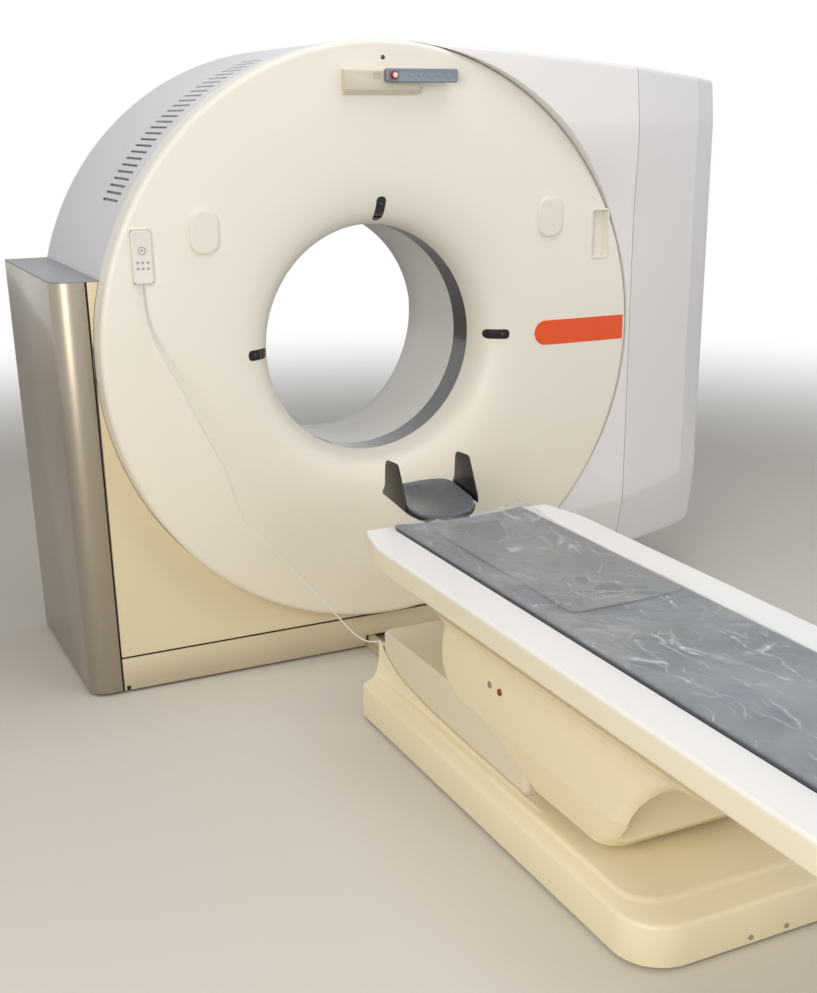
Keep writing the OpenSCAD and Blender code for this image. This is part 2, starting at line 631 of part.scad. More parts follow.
// Table base
deck_low = deck_top - deck_t;
plinth_y = -base_y;
far_y = plinth_y - base_len;
skirt_y0 = plinth_y - 844;
skirt_y1 = plinth_y - 9;
inner_w = 380;
inner_y0 = -1420;
inner_y1 = -1104;
half = base_w / 2;

duct_w = 120;
module floor_duct() color([0.35, 0.35, 0.36]) {
    box([-duct_w / 2, -650, 2], [duct_w / 2, -60 - fit, 20]);
    for (x = [-50, 30]) box([x, plinth_y + 4, 20], [x + 20, -100, 40]);
}

module table_frame() color([0.32, 0.33, 0.35]) difference() {
    union() {
        box([-250, far_y + 90, 0], [250, -650, 18]);
        for (s = [-1, 1]) box([s * 240 - 10, far_y + 90, 18], [s * 240 + 10, -650, 70]);
        for (y = [far_y + 90, -690]) box([-218, y, 18], [218, y + 20, 24]);
        for (s = [-1, 1], y = [-1900, -1600])
            box([s * 240 - 8, y, 70], [s * 240 + 8, y + 16, base_plate_h - 6]);
        for (s = [-1, 1], y = [-1400, -720])
            box([s * 240 - 8, y, 70], [s * 240 + 8, y + 16, base_wall_h - 8]);
        box([-150, -1400, 18], [150, -1080, 24]);
    }
    for (s = [-1, 1], y = [-1900, -740]) rod([s * 200, y, -1], 8, 40);
    box([-120, -1800, -1], [120, -1500, 30]);
}

// Half outline of the concave strip beside the skirt, at station y
function strip_top(y) = lookup(y - plinth_y, [[-924, 132], [-572, 138], [-443, 142],
    [-313, 147], [-175, 161], [-106, 174], [-44, 200], [-23, 211], [0, 235]]);
function strip(y, s) = let (h = strip_top(y), low = base_wall_h)
    [for (t = [0:0.125:1]) [s * (half - 0.5 - 55.5 * (1 - pow(1 - t, 1.9))), y,
        low + (h - low) * (1 - pow(1 - pow(t, 2), 0.75))]];

module base_cover() color([0.92, 0.9, 0.82]) difference() {
    union() {
        loft([for (l = [[floor_gap, 0, 0], [base_wall_h, 0, 0], [base_wall_h + 6, 1.5, 1.5],
            [base_plate_h - 8, 30, 66], [base_plate_h, 40, 85]])
            loop_at(l[0], half - l[1], far_y + l[2], plinth_y, base_corner - l[2] / 3, 6)]);
        for (s = [-1, 1]) loft([for (d = [1, 12, 24, 44, 72, 106, 140, 175, 240, 313, 443, 572, 760, 924])
            let (top = strip(plinth_y - d, s), h = top[8][2],
                inner = [[s * 229.5, plinth_y - d, h], [s * 229.5, plinth_y - d, base_wall_h - 8],
                    [s * (half - 0.5), plinth_y - d, base_wall_h - 8]])
            s > 0 ? concat(top, inner) : back(concat(top, inner))]);
        box([-235, plinth_y - 7, 60], [235, plinth_y, 226]);
    }
    loft([for (l = [[floor_gap - 1, 6, 6], [base_wall_h - 6, 6, 6], [base_plate_h - 6, 36, 70]])
        loop_at(l[0], half - l[1], far_y + l[2], plinth_y - 7, base_corner - l[2], 6)]);
    box([-229, skirt_y0 - 3, 50], [229, skirt_y1 + 2.5, 400]);
    for (s = [-1, 1], i = [0:6])
        box([s * 250 - 3, -1442 + i * 119, 100], [s * 250 + 3, -1424 + i * 119, 300]);
    rod([cord_end[0], plinth_y - 20, cord_end[1]], 9, 60, [-90, 0, 0]);
    box([-duct_w / 2 - 5, plinth_y - 20, 0], [duct_w / 2 + 5, plinth_y + 1, 45]);
}

module cover_screws() color([0.7, 0.71, 0.72]) for (x = [-15, 81]) difference() {
    rod([x, far_y - 2, 27], 6, 2 - fit, [-90, 0, 0]);
    rod([x, far_y - 3, 27], 2.6, 2, [-90, 0, 0]);
}

module cable_gland() color([0.12, 0.12, 0.12]) difference() {
    union() {
        rod([cord_end[0], plinth_y + fit, cord_end[1]], 13, 5, [-90, 0, 0]);
        rod([cord_end[0], plinth_y - 7.5, cord_end[1]], 9 - fit, 8, [-90, 0, 0]);
    }
    rod([cord_end[0], plinth_y - 15, cord_end[1]], cord_d / 2 + 0.7, 30, [-90, 0, 0]);
    translate([cord_end[0], plinth_y - 1, cord_end[1]]) rotate([-90, 0, 0])
        cylinder(r1 = cord_d / 2 + 0.7, r2 = 10, h = 7);
}

mast_top = 158 + lift_travel;
module lift_mast() color([0.55, 0.57, 0.6]) {
    for (s = [-1, 1]) {
        box([s * 120 - 18, -1330, 24 + fit], [s * 120 + 18, -1150, 34]);
        box([s * 120 - 8, -1300, 34], [s * 120 + 8, -1180, mast_top]);
        box([s * 120 - 14, -1250, 34], [s * 120 + 14, -1230, mast_top]);
    }
}

module lift_screw() color([0.6, 0.6, 0.62]) {
    rod([0, -1240, 24 + fit], 42, 60);
    rod([0, -1240, 84], 14, mast_top - 88);
    box([-40, -1400, 24 + fit], [40, -1290, 110]);
    rod([0, -1345, 110], 36, 90);
}

module lift_carriage() color([0.4, 0.42, 0.46]) difference() {
    union() {
        box([-170, -1320, 486], [170, -1160, deck_low]);
        for (s = [-1, 1]) box([s * 120 - 26, -1320, 100], [s * 120 + 26, -1160, 486]);
        box([-30, -1270, 120], [30, -1210, 486]);
    }
    for (s = [-1, 1]) {
        box([s * 120 - 9, -1301, 90], [s * 120 + 9, -1179, deck_low - 2]);
        box([s * 120 - 15, -1251, 90], [s * 120 + 15, -1229, deck_low - 2]);
    }
    rod([0, -1240, 100], 14.5, deck_low - 102);
}

module lift_skirt() color([0.86, 0.85, 0.78]) difference() {
    loft([for (l = [[20, 0], [skirt_top - 8, 0], [skirt_top - 2, 2.5], [skirt_top, 7]])
        loop_at(l[0], skirt_w / 2 - l[1], skirt_y0 + l[1], skirt_y1 - l[1], 14, 22)]);
    loft([for (l = [[10, 4], [skirt_top - 8, 4]])
        loop_at(l[0], skirt_w / 2 - l[1], skirt_y0 + l[1], skirt_y1 - l[1], 10, 18)]);
    box([-inner_w / 2 - 3, inner_y0 - 3, 200], [inner_w / 2 + 3, inner_y1 + 3, 300]);
}

module inner_skirt() color([0.8, 0.79, 0.74]) difference() {
    box([-inner_w / 2, inner_y0, 30], [inner_w / 2, inner_y1, deck_low - fit]);
    box([-inner_w / 2 + 4, inner_y0 + 4, 29], [inner_w / 2 - 4, inner_y1 - 4, 600]);
}

// Saddle under the deck: [height, half width, far y, gantry y, far rounding, gantry rounding]

saddle = [[165, 196, -1806, -1452, 50, 60], [200, 216, -1842, -1392, 60, 60],
    [250, 238, -1884, -1230, 60, 60], [264, 243, -1894, -1190, 60, 60],
    [268, 250, -1900, -1120, 60, 60], [292, 250, -1912, -1046, 60, 60],
    [330, 250, -1938, -1018, 60, 60], [369, 250, -1976, -1014, 60, 60], [400, 250, -2014, -1020, 60, 60],
    [434, 255, -2070, -1040, 60, 60], [460, 266, -2132, -1062, 60, 60], [482, 284, -2200, -1080, 60, 60],
    [deck_low - fit, 300, -2250, -1090, 60, 60]];
module saddle_body(t, grow) loft([for (l = saddle)
    loop_at(l[0] + (l == saddle[0] ? grow : l == saddle[12] && grow > 0 ? 5 : 0),
        l[1] - t, l[2] + t, l[3] - t, l[4] - t / 2, l[5] - t / 2)]);

module saddle_cover() color([0.93, 0.91, 0.85]) difference() {
    saddle_body(0, 0);
    difference() {
        saddle_body(10, 10);
        box([-400, -1812, 100], [400, -1802, 600]);
    }
    difference() {
        loft([for (l = saddle) loop_at(l[0] + (l == saddle[0] ? -1 : l == saddle[12] ? 5 : 0),
            l[1] - 12, l[2] - 40, -1812, 30, 4)]);
        box([-400, -1812, 100], [400, -1802, 600]);
    }
    box([-232, -1472, 100], [232, -1000, 284]);
    for (y = [-1322, -1372]) rod([-260, y, 373], 9.5, 40, [0, 90, 0]);
    rod([-251, -1281, 372], 3, 4, [0, 90, 0]);
}

module switch_box() color([0.15, 0.15, 0.16]) difference() {
    box([-240 + fit, -1396, 352], [-212, -1262, 394]);
    for (y = [-1322, -1372]) rod([-245, y, 373], 9.5, 12, [0, 90, 0]);
}

module release_button() color([0.55, 0.55, 0.54])
    rod([-250 - key_travel, -1322, 373], 9, 12 + key_travel, [0, 90, 0]);

module table_stop_button() color([0.75, 0.12, 0.08])
    rod([-251 - key_travel, -1372, 373], 9, 13 + key_travel, [0, 90, 0]);

// Deck and cradle
deck_y1 = -deck_y;
deck_y0 = deck_y1 - deck_len;
floor_z = deck_top - 52;
rail_h = 8;
cradle_z = floor_z + rail_h + 0.4;
cradle_t = 15.6;
bed_z = cradle_z + cradle_t + fit;
module deck_section() {
    polygon([[-deck_w / 2, deck_top - 62], [-deck_w / 2 + 14, deck_top - 70],
        [-250, deck_low], [250, deck_low], [deck_w / 2 - 14, deck_top - 70],
        [deck_w / 2, deck_top - 62], [deck_w / 2, deck_top - 9],
        [deck_w / 2 - 3, deck_top - 3], [deck_w / 2 - 9, deck_top], [channel_w / 2, deck_top],
        [channel_w / 2, floor_z], [-channel_w / 2, floor_z], [-channel_w / 2, deck_top],
        [9 - deck_w / 2, deck_top], [3 - deck_w / 2, deck_top - 3], [-deck_w / 2, deck_top - 9]]);
}

module table_deck() color([0.93, 0.92, 0.87]) union() {
    difference() {
        along_y(deck_y0, deck_y1) deck_section();
        for (s = [-1, 1]) translate([0, 0, 400]) linear_extrude(300)
            polygon([[s * (deck_w / 2 - 38), deck_y1], [s * 500, deck_y1 - 20],
                [s * 500, deck_y1 + 20], [s * 284, deck_y1 + 20]]);
        along_y(deck_y0 + 8, deck_y1 - 190) {
            polygon([[-240, deck_low + 6], [240, deck_low + 6], [240, floor_z - 6], [-240, floor_z - 6]]);
            for (s = [-1, 1]) translate([s * 266, deck_top - 46]) square([84, 68], center = true);
        }
        along_x(-400, 400) polygon([[deck_y1 - 70, deck_low - 1], [deck_y1, deck_top - 42],
            [deck_y1 + 1, deck_low - 1]]);
        for (s = [-1, 1]) translate([0, 0, 400]) linear_extrude(300)
            polygon([[s * (deck_w / 2 - 38), deck_y1 + 1], [s * (deck_w / 2 + 1), deck_y1 - 175],
                [s * 400, deck_y1 - 175], [s * 400, deck_y1 + 1]]);
    }
}

module cradle_rails() color([0.5, 0.52, 0.55])
    for (s = [-1, 1])
        box([s * 150 - 12, deck_y0 + 20, floor_z], [s * 150 + 12, deck_y1 - 20, floor_z + rail_h]);

module cradle() color([0.12, 0.12, 0.13]) difference() {
    box([-cradle_w / 2, deck_y0 + 10, cradle_z], [cradle_w / 2, deck_y1 - 12, cradle_z + cradle_t]);
    box([-61, deck_y1 - 90, cradle_z + 4], [61, deck_y1, cradle_z + 12]);
    for (s = [-1, 1]) translate([s * cradle_w / 2, deck_y1 - 12, 0]) rotate([0, 0, 45])
        cube([40, 40, 1400], center = true);
}

function bed_top(x) = bed_z + mattress_t + mattress_dish * pow(x / 200, 2);
module bed_layer(x0, x1, low, high, y0, y1) along_y(y0, y1) polygon(concat(
    [for (i = [0:12]) let (x = x0 + (x1 - x0) * i / 12) [x, bed_top(x) + low]],
    [for (i = [12:-1:0]) let (x = x0 + (x1 - x0) * i / 12) [x, bed_top(x) + high]]));

module mattress() color([0.55, 0.58, 0.56]) along_y(deck_y0 + 16, deck_y1 - 14) polygon(concat(
    [[-202, bed_z], [202, bed_z], [204, bed_z + 6], [204, bed_z + mattress_t]],
    [for (i = [12:-1:-12]) let (x = i * 16) [x, bed_top(x)]],
    [[-204, bed_z + mattress_t], [-204, bed_z + 6]]));

module overlay_pad() color([0.5, 0.52, 0.52]) intersection() {
    bed_layer(-130, 190, fit, 4.5, -1490, -760);
    translate([30, -1125, 0]) linear_extrude(1000) rounded(319, 729, 24);
}

module cover_film() color([0.85, 0.87, 0.88, 0.4]) bed_layer(-196, 196, 6, 7, deck_y0 + 30, deck_y1 - 16);

// Head holder, tilted so that its gantry end stands higher
head_y1 = deck_y1 + 335;
head_y0 = head_y1 - head_len;
head_fall = 0.12;
dish_r = 255;
function head_z(y) = 577 + (y - head_y0) * head_fall;
function dish(x, o) = let (r = dish_r + o) dish_r - sqrt(r * r - x * x);
function dish_loop(y, w, a, b) = concat(
    [for (i = [-6:6]) [i * w / 6, y, head_z(y) + dish(i * w / 6, b)]],
    [for (i = [6:-1:-6]) [i * w / 6, y, head_z(y) + dish(i * w / 6, a)]]);

module head_holder() color([0.05, 0.05, 0.055]) union() {
    loft([for (y = [head_y1 - 4, head_y1 - 60, head_y0 + 100, head_y0]) dish_loop(y, head_r + 4, 14, 20)]);
    for (s = [-1, 1]) intersection() {
        along_x(s * head_r + (s > 0 ? -1 : -7), s * head_r + (s > 0 ? 7 : 1))
            polygon([[head_y1 - 80, head_z(head_y1 - 80) + 5], [head_y1 - 100, 640],
                [head_y1 - 106, 700], [head_y1 - 112, head_tip_h - 6], [head_y1 - 124, head_tip_h],
                [head_y1 - 190, head_tip_h + 2], [head_y1 - 202, head_tip_h - 4],
                [head_y0 + 4, head_z(head_y0) + 36], [head_y0, head_z(head_y0) + 5]]);
        box([-200, head_y0, 400], [200, head_y1, 900]);
    }
    box([-58, deck_y1 - 88, cradle_z + 4.3], [58, head_y0 + 30, cradle_z + 11.7]);
    for (x = [-44, 0, 44])
        box([x - 4, head_y0 + 3, cradle_z + 8], [x + 4, head_y0 + 27, head_z(head_y0) - 14.5]);
}

module head_pad() color([0.5, 0.53, 0.54])
    loft([for (y = [head_y1, head_y1 - 40, head_y0 + 60, head_y0 + 8]) dish_loop(y, head_r - 2, 2, 13.7)]);

gantry_base();
cover_frame();
stator_frame();
bearing_outer();
drive_coils();
power_unit();
bearing_inner();
rotor_drum();
drive_magnets();
slip_ring();
brush_block();
xray_tube();
collimator();
detector_arc();
hv_generator();
cooling_unit();
front_cover();
scan_window();
rear_tunnel();
rear_cover();
drum_shell();
wing_front_cover();
wing_side_cover();
side_cover();
shoulder_cover();
lower_front_panel();
kick_plate();
cover_gaskets();
optical_windows();
intercom_box();
control_bar();
emergency_button();
tablet_pads();
dock_trays();
handset();
handset_cord();
colour_band();
floor_duct();
table_frame();
base_cover();
cover_screws();
lift_mast();
lift_screw();
cable_gland();
lift_skirt();
inner_skirt();
lift_carriage();
saddle_cover();
table_deck();
cradle_rails();
switch_box();
release_button();
table_stop_button();
cradle();
mattress();
overlay_pad();
cover_film();
head_holder();
head_pad();
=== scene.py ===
import math

import bmesh
import bpy
import numpy as np
from mathutils import Matrix, Vector


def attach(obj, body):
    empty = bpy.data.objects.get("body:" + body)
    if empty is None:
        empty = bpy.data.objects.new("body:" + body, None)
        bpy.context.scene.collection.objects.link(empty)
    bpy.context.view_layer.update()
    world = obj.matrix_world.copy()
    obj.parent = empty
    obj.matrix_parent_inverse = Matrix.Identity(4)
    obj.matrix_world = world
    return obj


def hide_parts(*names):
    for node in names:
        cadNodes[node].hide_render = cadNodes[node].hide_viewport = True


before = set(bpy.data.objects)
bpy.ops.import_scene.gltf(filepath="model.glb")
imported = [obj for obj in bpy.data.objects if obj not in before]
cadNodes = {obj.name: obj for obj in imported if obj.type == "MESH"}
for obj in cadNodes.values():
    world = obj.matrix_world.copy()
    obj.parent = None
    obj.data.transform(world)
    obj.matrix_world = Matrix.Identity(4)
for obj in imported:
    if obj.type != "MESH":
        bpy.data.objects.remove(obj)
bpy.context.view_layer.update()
isoHeight = 1.010          # bore axis above the floor, metres
print("frame loaded:", len(cadNodes), "nodes")


def clear():
    if bpy.context.mode != "OBJECT":
        bpy.ops.object.mode_set(mode="OBJECT")
    bpy.ops.object.select_all(action="DESELECT")


def take(piece):
    clear()
    piece.select_set(True)
    bpy.context.view_layer.objects.active = piece
    return piece


def added(name):
    # the primitive just added, with its place put into its mesh
    piece = bpy.context.object
    piece.name = piece.data.name = name
    bpy.ops.object.transform_apply(location=True, rotation=True, scale=True)
    return piece


def openUp(piece, kind="FACE"):
    take(piece)
    bpy.ops.object.mode_set(mode="EDIT")
    bpy.ops.mesh.select_mode(type=kind)
    bpy.ops.mesh.select_all(action="DESELECT")


def pick(test, kind="faces"):
    # selects the faces, edges or points whose middle passes the test
    mesh = bpy.context.object.data
    shape = bmesh.from_edit_mesh(mesh)
    bpy.ops.mesh.select_all(action="DESELECT")
    for part in getattr(shape, kind):
        if kind == "verts":
            middle, way = part.co, part.normal
        elif kind == "edges":
            middle = (part.verts[0].co + part.verts[1].co) / 2
            way = (part.verts[1].co - part.verts[0].co).normalized()
        else:
            middle, way = part.calc_center_median(), part.normal
        if test(middle, way):
            part.select_set(True)
    shape.select_flush_mode()
    bmesh.update_edit_mesh(mesh)


def allIn():
    bpy.ops.mesh.select_all(action="SELECT")


def faceOut():
    allIn()
    bpy.ops.mesh.normals_make_consistent(inside=False)


def shut():
    bpy.ops.object.mode_set(mode="OBJECT")


def mend(piece, gap=0.00002):
    openUp(piece, "VERT")
    allIn()
    bpy.ops.mesh.remove_doubles(threshold=gap)
    bpy.ops.mesh.normals_make_consistent(inside=False)
    shut()


def apply(piece, kind, **settings):
    take(piece)
    modifier = piece.modifiers.new(kind.title(), kind)
    for key, value in settings.items():
        setattr(modifier, key, value)
    bpy.ops.object.modifier_apply(modifier=modifier.name)


def smooth(piece, angle=35):
    take(piece)
    bpy.ops.object.shade_smooth_by_angle(angle=math.radians(angle))


def softEdges(piece, width, steps=3, angle=30):
    apply(piece, "BEVEL", width=width, segments=steps, limit_method="ANGLE",
          angle_limit=math.radians(angle), harden_normals=False)
    smooth(piece, 40)


def cutWith(piece, cutter):
    apply(piece, "BOOLEAN", operation="DIFFERENCE", object=cutter, solver="EXACT")
    bpy.data.objects.remove(cutter)


def joined(name, pieces):
    clear()
    for piece in pieces:
        piece.select_set(True)
    bpy.context.view_layer.objects.active = pieces[0]
    if len(pieces) > 1:
        bpy.ops.object.join()
    piece = bpy.context.object
    piece.name = piece.data.name = name
    return piece


def twin(piece, name):
    # a copy with its own mesh
    copy = bpy.data.objects.new(name, piece.data.copy())
    bpy.context.scene.collection.objects.link(copy)
    return copy


def around(u, count):
    # which of the points round a section u stands for
    return np.round(u * count).astype(int) % count


def onSection(u):
    # u goes over the top of a flat section and back below it: share of the half width, and whether it is on top
    return np.where(u < 0.5, 4 * u - 1, 3 - 4 * u), (u < 0.5) | (u > 0.9999)


def surface(name, across, along, place, closed=False):
    # a grid whose points are laid by place(u, v), both from 0 to 1
    clear()
    bpy.ops.mesh.primitive_grid_add(x_subdivisions=across, y_subdivisions=along, size=1)
    piece = added(name)
    mesh = piece.data
    flat = np.zeros(len(mesh.vertices) * 3)
    mesh.vertices.foreach_get("co", flat)
    flat = flat.reshape(-1, 3)
    spots = np.stack(place(flat[:, 0] + 0.5, flat[:, 1] + 0.5), axis=1)
    mesh.vertices.foreach_set("co", spots.astype(float).ravel())
    mesh.update()
    if closed:
        mend(piece, 0.00001)
    return piece


def capped(piece):
    openUp(piece, "EDGE")
    bpy.ops.mesh.select_non_manifold()
    bpy.ops.mesh.fill_holes(sides=0)
    faceOut()
    shut()


def turned(name, rings, steps=192, middle=(0, isoHeight)):
    # circle extruded from ring to ring: (radius, y), round the bore axis
    clear()
    bpy.ops.mesh.primitive_circle_add(vertices=steps, radius=rings[0][0],
                                      location=(middle[0], rings[0][1], middle[1]),
                                      rotation=(math.pi / 2, 0, 0))
    piece = added(name)
    openUp(piece, "EDGE")
    allIn()
    for (r0, y0), (r1, y1) in zip(rings, rings[1:]):
        bpy.ops.mesh.extrude_region_move(TRANSFORM_OT_translate={"value": (0, y1 - y0, 0)})
        grow = r1 / r0
        bpy.ops.transform.resize(value=(grow, 1, grow), center_override=(middle[0], y1, middle[1]))
    shut()
    mend(piece)
    return piece


def slab(name, low, high, edge=0.0, steps=3):
    clear()
    middle = [(a + b) / 2 for a, b in zip(low, high)]
    bpy.ops.mesh.primitive_cube_add(size=1, location=middle,
                                    scale=[b - a for a, b in zip(low, high)])
    piece = added(name)
    if edge:
        softEdges(piece, edge, steps)
    return piece


def plate(name, outline, front, back, rim=0.0, steps=3):
    # a flat outline of (x, z) points, thick from front to back along Y, its front rim rounded
    clear()
    bpy.ops.mesh.primitive_circle_add(vertices=len(outline), radius=1, fill_type="NGON",
                                      rotation=(math.pi / 2, 0, 0))
    piece = added(name)
    for point, (x, z) in zip(piece.data.vertices, outline):
        point.co = (x, front, z)
    openUp(piece)
    allIn()
    bpy.ops.mesh.extrude_region_move(TRANSFORM_OT_translate={"value": (0, back - front, 0)})
    faceOut()
    if rim:
        pick(lambda m, w: abs(m.y - front) < 1e-6, "edges")
        bpy.ops.mesh.bevel(offset=rim, segments=steps, affect="EDGES")
    shut()
    return piece


def onFront(piece, front):
    # opens a plate with its front face picked
    openUp(piece)
    pick(lambda m, w: w.y < -0.9 and abs(m.y - front) < 1e-5)


def pill(x, z, width, height, corner, steps=8):
    # rounded rectangle as (x, z) points
    spots = []
    for sx, sz, start in ((1, 1, 0), (-1, 1, 90), (-1, -1, 180), (1, -1, 270)):
        for i in range(steps + 1):
            a = math.radians(start + 90 * i / steps)
            spots.append((x + sx * (width / 2 - corner) + corner * math.cos(a),
                          z + sz * (height / 2 - corner) + corner * math.sin(a)))
    return spots


def softened(name, node, width=0.0015, steps=2, angle=30):
    # a copy of a CAD solid with its edges broken, for panels whose shape is right
    piece = twin(cadNodes[node], name)
    take(piece)
    if piece.data.has_custom_normals:
        bpy.ops.mesh.customdata_custom_splitnormals_clear()
    openUp(piece, "VERT")
    allIn()
    bpy.ops.mesh.remove_doubles(threshold=0.00002)
    bpy.ops.mesh.dissolve_limited(angle_limit=math.radians(1.5))
    shut()
    if width:
        softEdges(piece, width, steps, angle)
    else:
        smooth(piece, angle)
    return piece


class Reading:
    # a socket that takes part in sums
    def __init__(self, paint, socket):
        self.paint, self.socket = paint, socket

    def sum(self, operation, *values):
        return self.paint.add("ShaderNodeMath", {"operation": operation}, dict(enumerate(values)))

    def __add__(self, other):
        return self.sum("ADD", self, other)

    def __radd__(self, other):
        return self.sum("ADD", other, self)

    def __mul__(self, other):
        return self.sum("MULTIPLY", self, other)

    def __rmul__(self, other):
        return self.sum("MULTIPLY", other, self)


class Paint:
    def __init__(self, name, **fixed):
        self.material = bpy.data.materials.new(name)
        self.material.use_nodes = True
        self.tree = self.material.node_tree
        self.shader = self.tree.nodes["Principled BSDF"]
        self.out = self.tree.nodes["Material Output"]
        for key, value in fixed.items():
            self.shader.inputs[key.replace("_", " ")].default_value = value
        self.spot = self.add("ShaderNodeTexCoord", {}, {}, 3)

    def add(self, kind, settings=None, sockets=None, out=0):
        node = self.tree.nodes.new(kind)
        for key, value in (settings or {}).items():
            if key == "stops":
                while len(node.color_ramp.elements) < len(value):
                    node.color_ramp.elements.new(0.5)
                for stop, (place, shade) in zip(node.color_ramp.elements, value):
                    stop.position, stop.color = place, shade
            else:
                setattr(node, key, value)
        for key, value in (sockets or {}).items():
            if isinstance(value, Reading):
                self.tree.links.new(value.socket, node.inputs[key])
            else:
                node.inputs[key].default_value = value
        return Reading(self, node.outputs[out])

    def noise(self, scale, detail=3.0, rough=0.55, spot=None, out=0):
        return self.add("ShaderNodeTexNoise", {}, {"Vector": spot or self.spot, "Scale": scale,
                        "Detail": detail, "Roughness": rough}, out)

    def stretched(self, size, turn=(0, 0, 0)):
        return self.add("ShaderNodeMapping", {}, {"Vector": self.spot, "Scale": size, "Rotation": turn})

    def ramp(self, value, *stops):
        grey = [(place, (shade, shade, shade, 1)) for place, shade in stops]
        return self.add("ShaderNodeValToRGB", {"stops": grey}, {0: value})

    def axis(self, which, spot=None):
        return self.add("ShaderNodeSeparateXYZ", {}, {0: spot or self.spot}, "XYZ".index(which))

    def mix(self, mask, first, second, how="MIX"):
        return self.add("ShaderNodeMix", {"data_type": "RGBA", "blend_type": how},
                        {0: mask, 6: first, 7: second}, 2)

    def bump(self, height, strength, distance, under=None):
        sockets = {"Height": height, "Strength": strength, "Distance": distance}
        if under:
            sockets["Normal"] = under
        return self.add("ShaderNodeBump", {}, sockets)

    def set(self, **links):
        for key, value in links.items():
            socket = self.shader.inputs[key.replace("_", " ")]
            if isinstance(value, Reading):
                self.tree.links.new(value.socket, socket)
            else:
                socket.default_value = value
        return self


def rgb(red, green, blue):
    # a screen colour, 0 to 255, as the light value a shader takes
    def light(c):
        c = c / 255
        return c / 12.92 if c <= 0.04045 else ((c + 0.055) / 1.055) ** 2.4
    return (light(red), light(green), light(blue), 1)


def deeper(shade, share):
    return tuple(c * share for c in shade[:3]) + (1,)


def mouldedPaint(name, shade, rough=0.42, peel=0.12, stain=0.05, darkerLow=0.0, paintedWarmth=0.0, side=None):
    # sprayed or moulded cover: fine orange peel, faint clouding, darker and browner towards the floor, painted
    # warm light low down, painted warm light on the sides below the top
    paint = Paint(name, Specular_IOR_Level=0.45, Coat_Roughness=0.25)
    cloud = paint.noise(2.3, 4.0)
    fine = paint.noise(34.0, 3.0)
    tint = paint.mix(cloud * stain + fine * (stain * 0.4), shade, deeper(shade, 0.62))
    if paintedWarmth:
        # painted warm light: the colour turns warmer towards the floor, as under light bounced up from it
        low = paint.ramp(paint.axis("Z") * 0.62, (0.0, 1.0), (0.75, 0.0))
        tint = paint.mix(low * paintedWarmth, tint, deeper(rgb(236, 222, 184), 0.95), "MULTIPLY")
    if side:
        # below the deck's top the sides take a warmer cream: painted warm light on the same white plastic
        flat = paint.ramp(paint.axis("Z"), (0.578, 0.0), (0.589, 1.0))
        tint = paint.mix(flat, paint.mix(cloud * stain, side, deeper(side, 0.62)), tint)
    if darkerLow:
        # darker and browner towards the floor
        foot = paint.ramp(paint.axis("Z") * 4.0 + cloud * 0.5, (0.12, 1.0), (0.75, 0.0))
        tint = paint.mix(foot * darkerLow, tint, rgb(120, 106, 86))
    peelNoise = paint.noise(240.0, 2.0)
    wave = paint.noise(9.0, 1.0)
    normal = paint.bump(wave, 0.06, 0.01)
    normal = paint.bump(peelNoise, peel, 0.0006, normal)
    return paint.set(Base_Color=tint, Roughness=fine * 0.12 + (rough - 0.06) + cloud * 0.05,
                     Normal=normal).material


def metalPaint(name, shade, rough=0.35, metal=1.0, brush=(1, 1, 1), grain=180.0):
    # machined or cast metal: drawn lines along one axis, a little tarnish
    paint = Paint(name)
    lines = paint.noise(grain, 3.0, 0.6, paint.stretched(brush))
    cloud = paint.noise(6.0, 4.0)
    tint = paint.mix(cloud * 0.35 + lines * 0.2, shade, deeper(shade, 0.55))
    return paint.set(Base_Color=tint, Metallic=metal, Roughness=lines * 0.2 + (rough - 0.1),
                     Normal=paint.bump(lines, 0.15, 0.0006)).material


def powderPaint(name, shade, rough=0.6, metal=0.0):
    # textured powder coat on frames and castings
    paint = Paint(name)
    pebble = paint.add("ShaderNodeTexVoronoi", {}, {"Vector": paint.spot, "Scale": 320.0})
    cloud = paint.noise(5.0, 4.0)
    tint = paint.mix(cloud * 0.3, shade, deeper(shade, 0.6))
    return paint.set(Base_Color=tint, Metallic=metal, Roughness=cloud * 0.15 + (rough - 0.07),
                     Normal=paint.bump(pebble, 0.25, 0.0008)).material


def champagnePaint(name, shade):
    # metallic lacquer with flake that catches the light
    paint = Paint(name, Metallic=0.72, Specular_IOR_Level=0.5, Coat_Weight=0.35, Coat_Roughness=0.12)
    flake = paint.add("ShaderNodeTexVoronoi", {}, {"Vector": paint.spot, "Scale": 900.0}, 1)
    grain = paint.add("ShaderNodeRGBToBW", {}, {0: flake})
    cloud = paint.noise(3.0, 4.0)
    tint = paint.mix(grain * 0.32 + cloud * 0.12, shade, deeper(shade, 0.45))
    return paint.set(Base_Color=tint, Roughness=grain * 0.18 + 0.3,
                     Normal=paint.bump(grain, 0.12, 0.0003)).material


def carbonPaint(name):
    # twill of carbon fibre under clear lacquer
    paint = Paint(name, Specular_IOR_Level=0.3, Coat_Weight=0.22, Coat_Roughness=0.06)
    weave = paint.add("ShaderNodeTexWave", {"wave_type": "BANDS", "bands_direction": "DIAGONAL"},
                      {"Vector": paint.stretched((1, 1, 1)), "Scale": 160.0, "Distortion": 0.0})
    cross = paint.add("ShaderNodeTexWave", {"wave_type": "BANDS", "bands_direction": "X"},
                      {"Vector": paint.spot, "Scale": 110.0})
    tow = paint.ramp(weave * 0.6 + cross * 0.4, (0.3, 0.0), (0.7, 1.0))
    tint = paint.mix(tow, rgb(10, 10, 11), rgb(26, 25, 26))
    smear = paint.noise(12.0, 5.0)
    return paint.set(Base_Color=tint, Roughness=tow * 0.12 + smear * 0.15 + 0.18,
                     Normal=paint.bump(tow, 0.08, 0.0003)).material


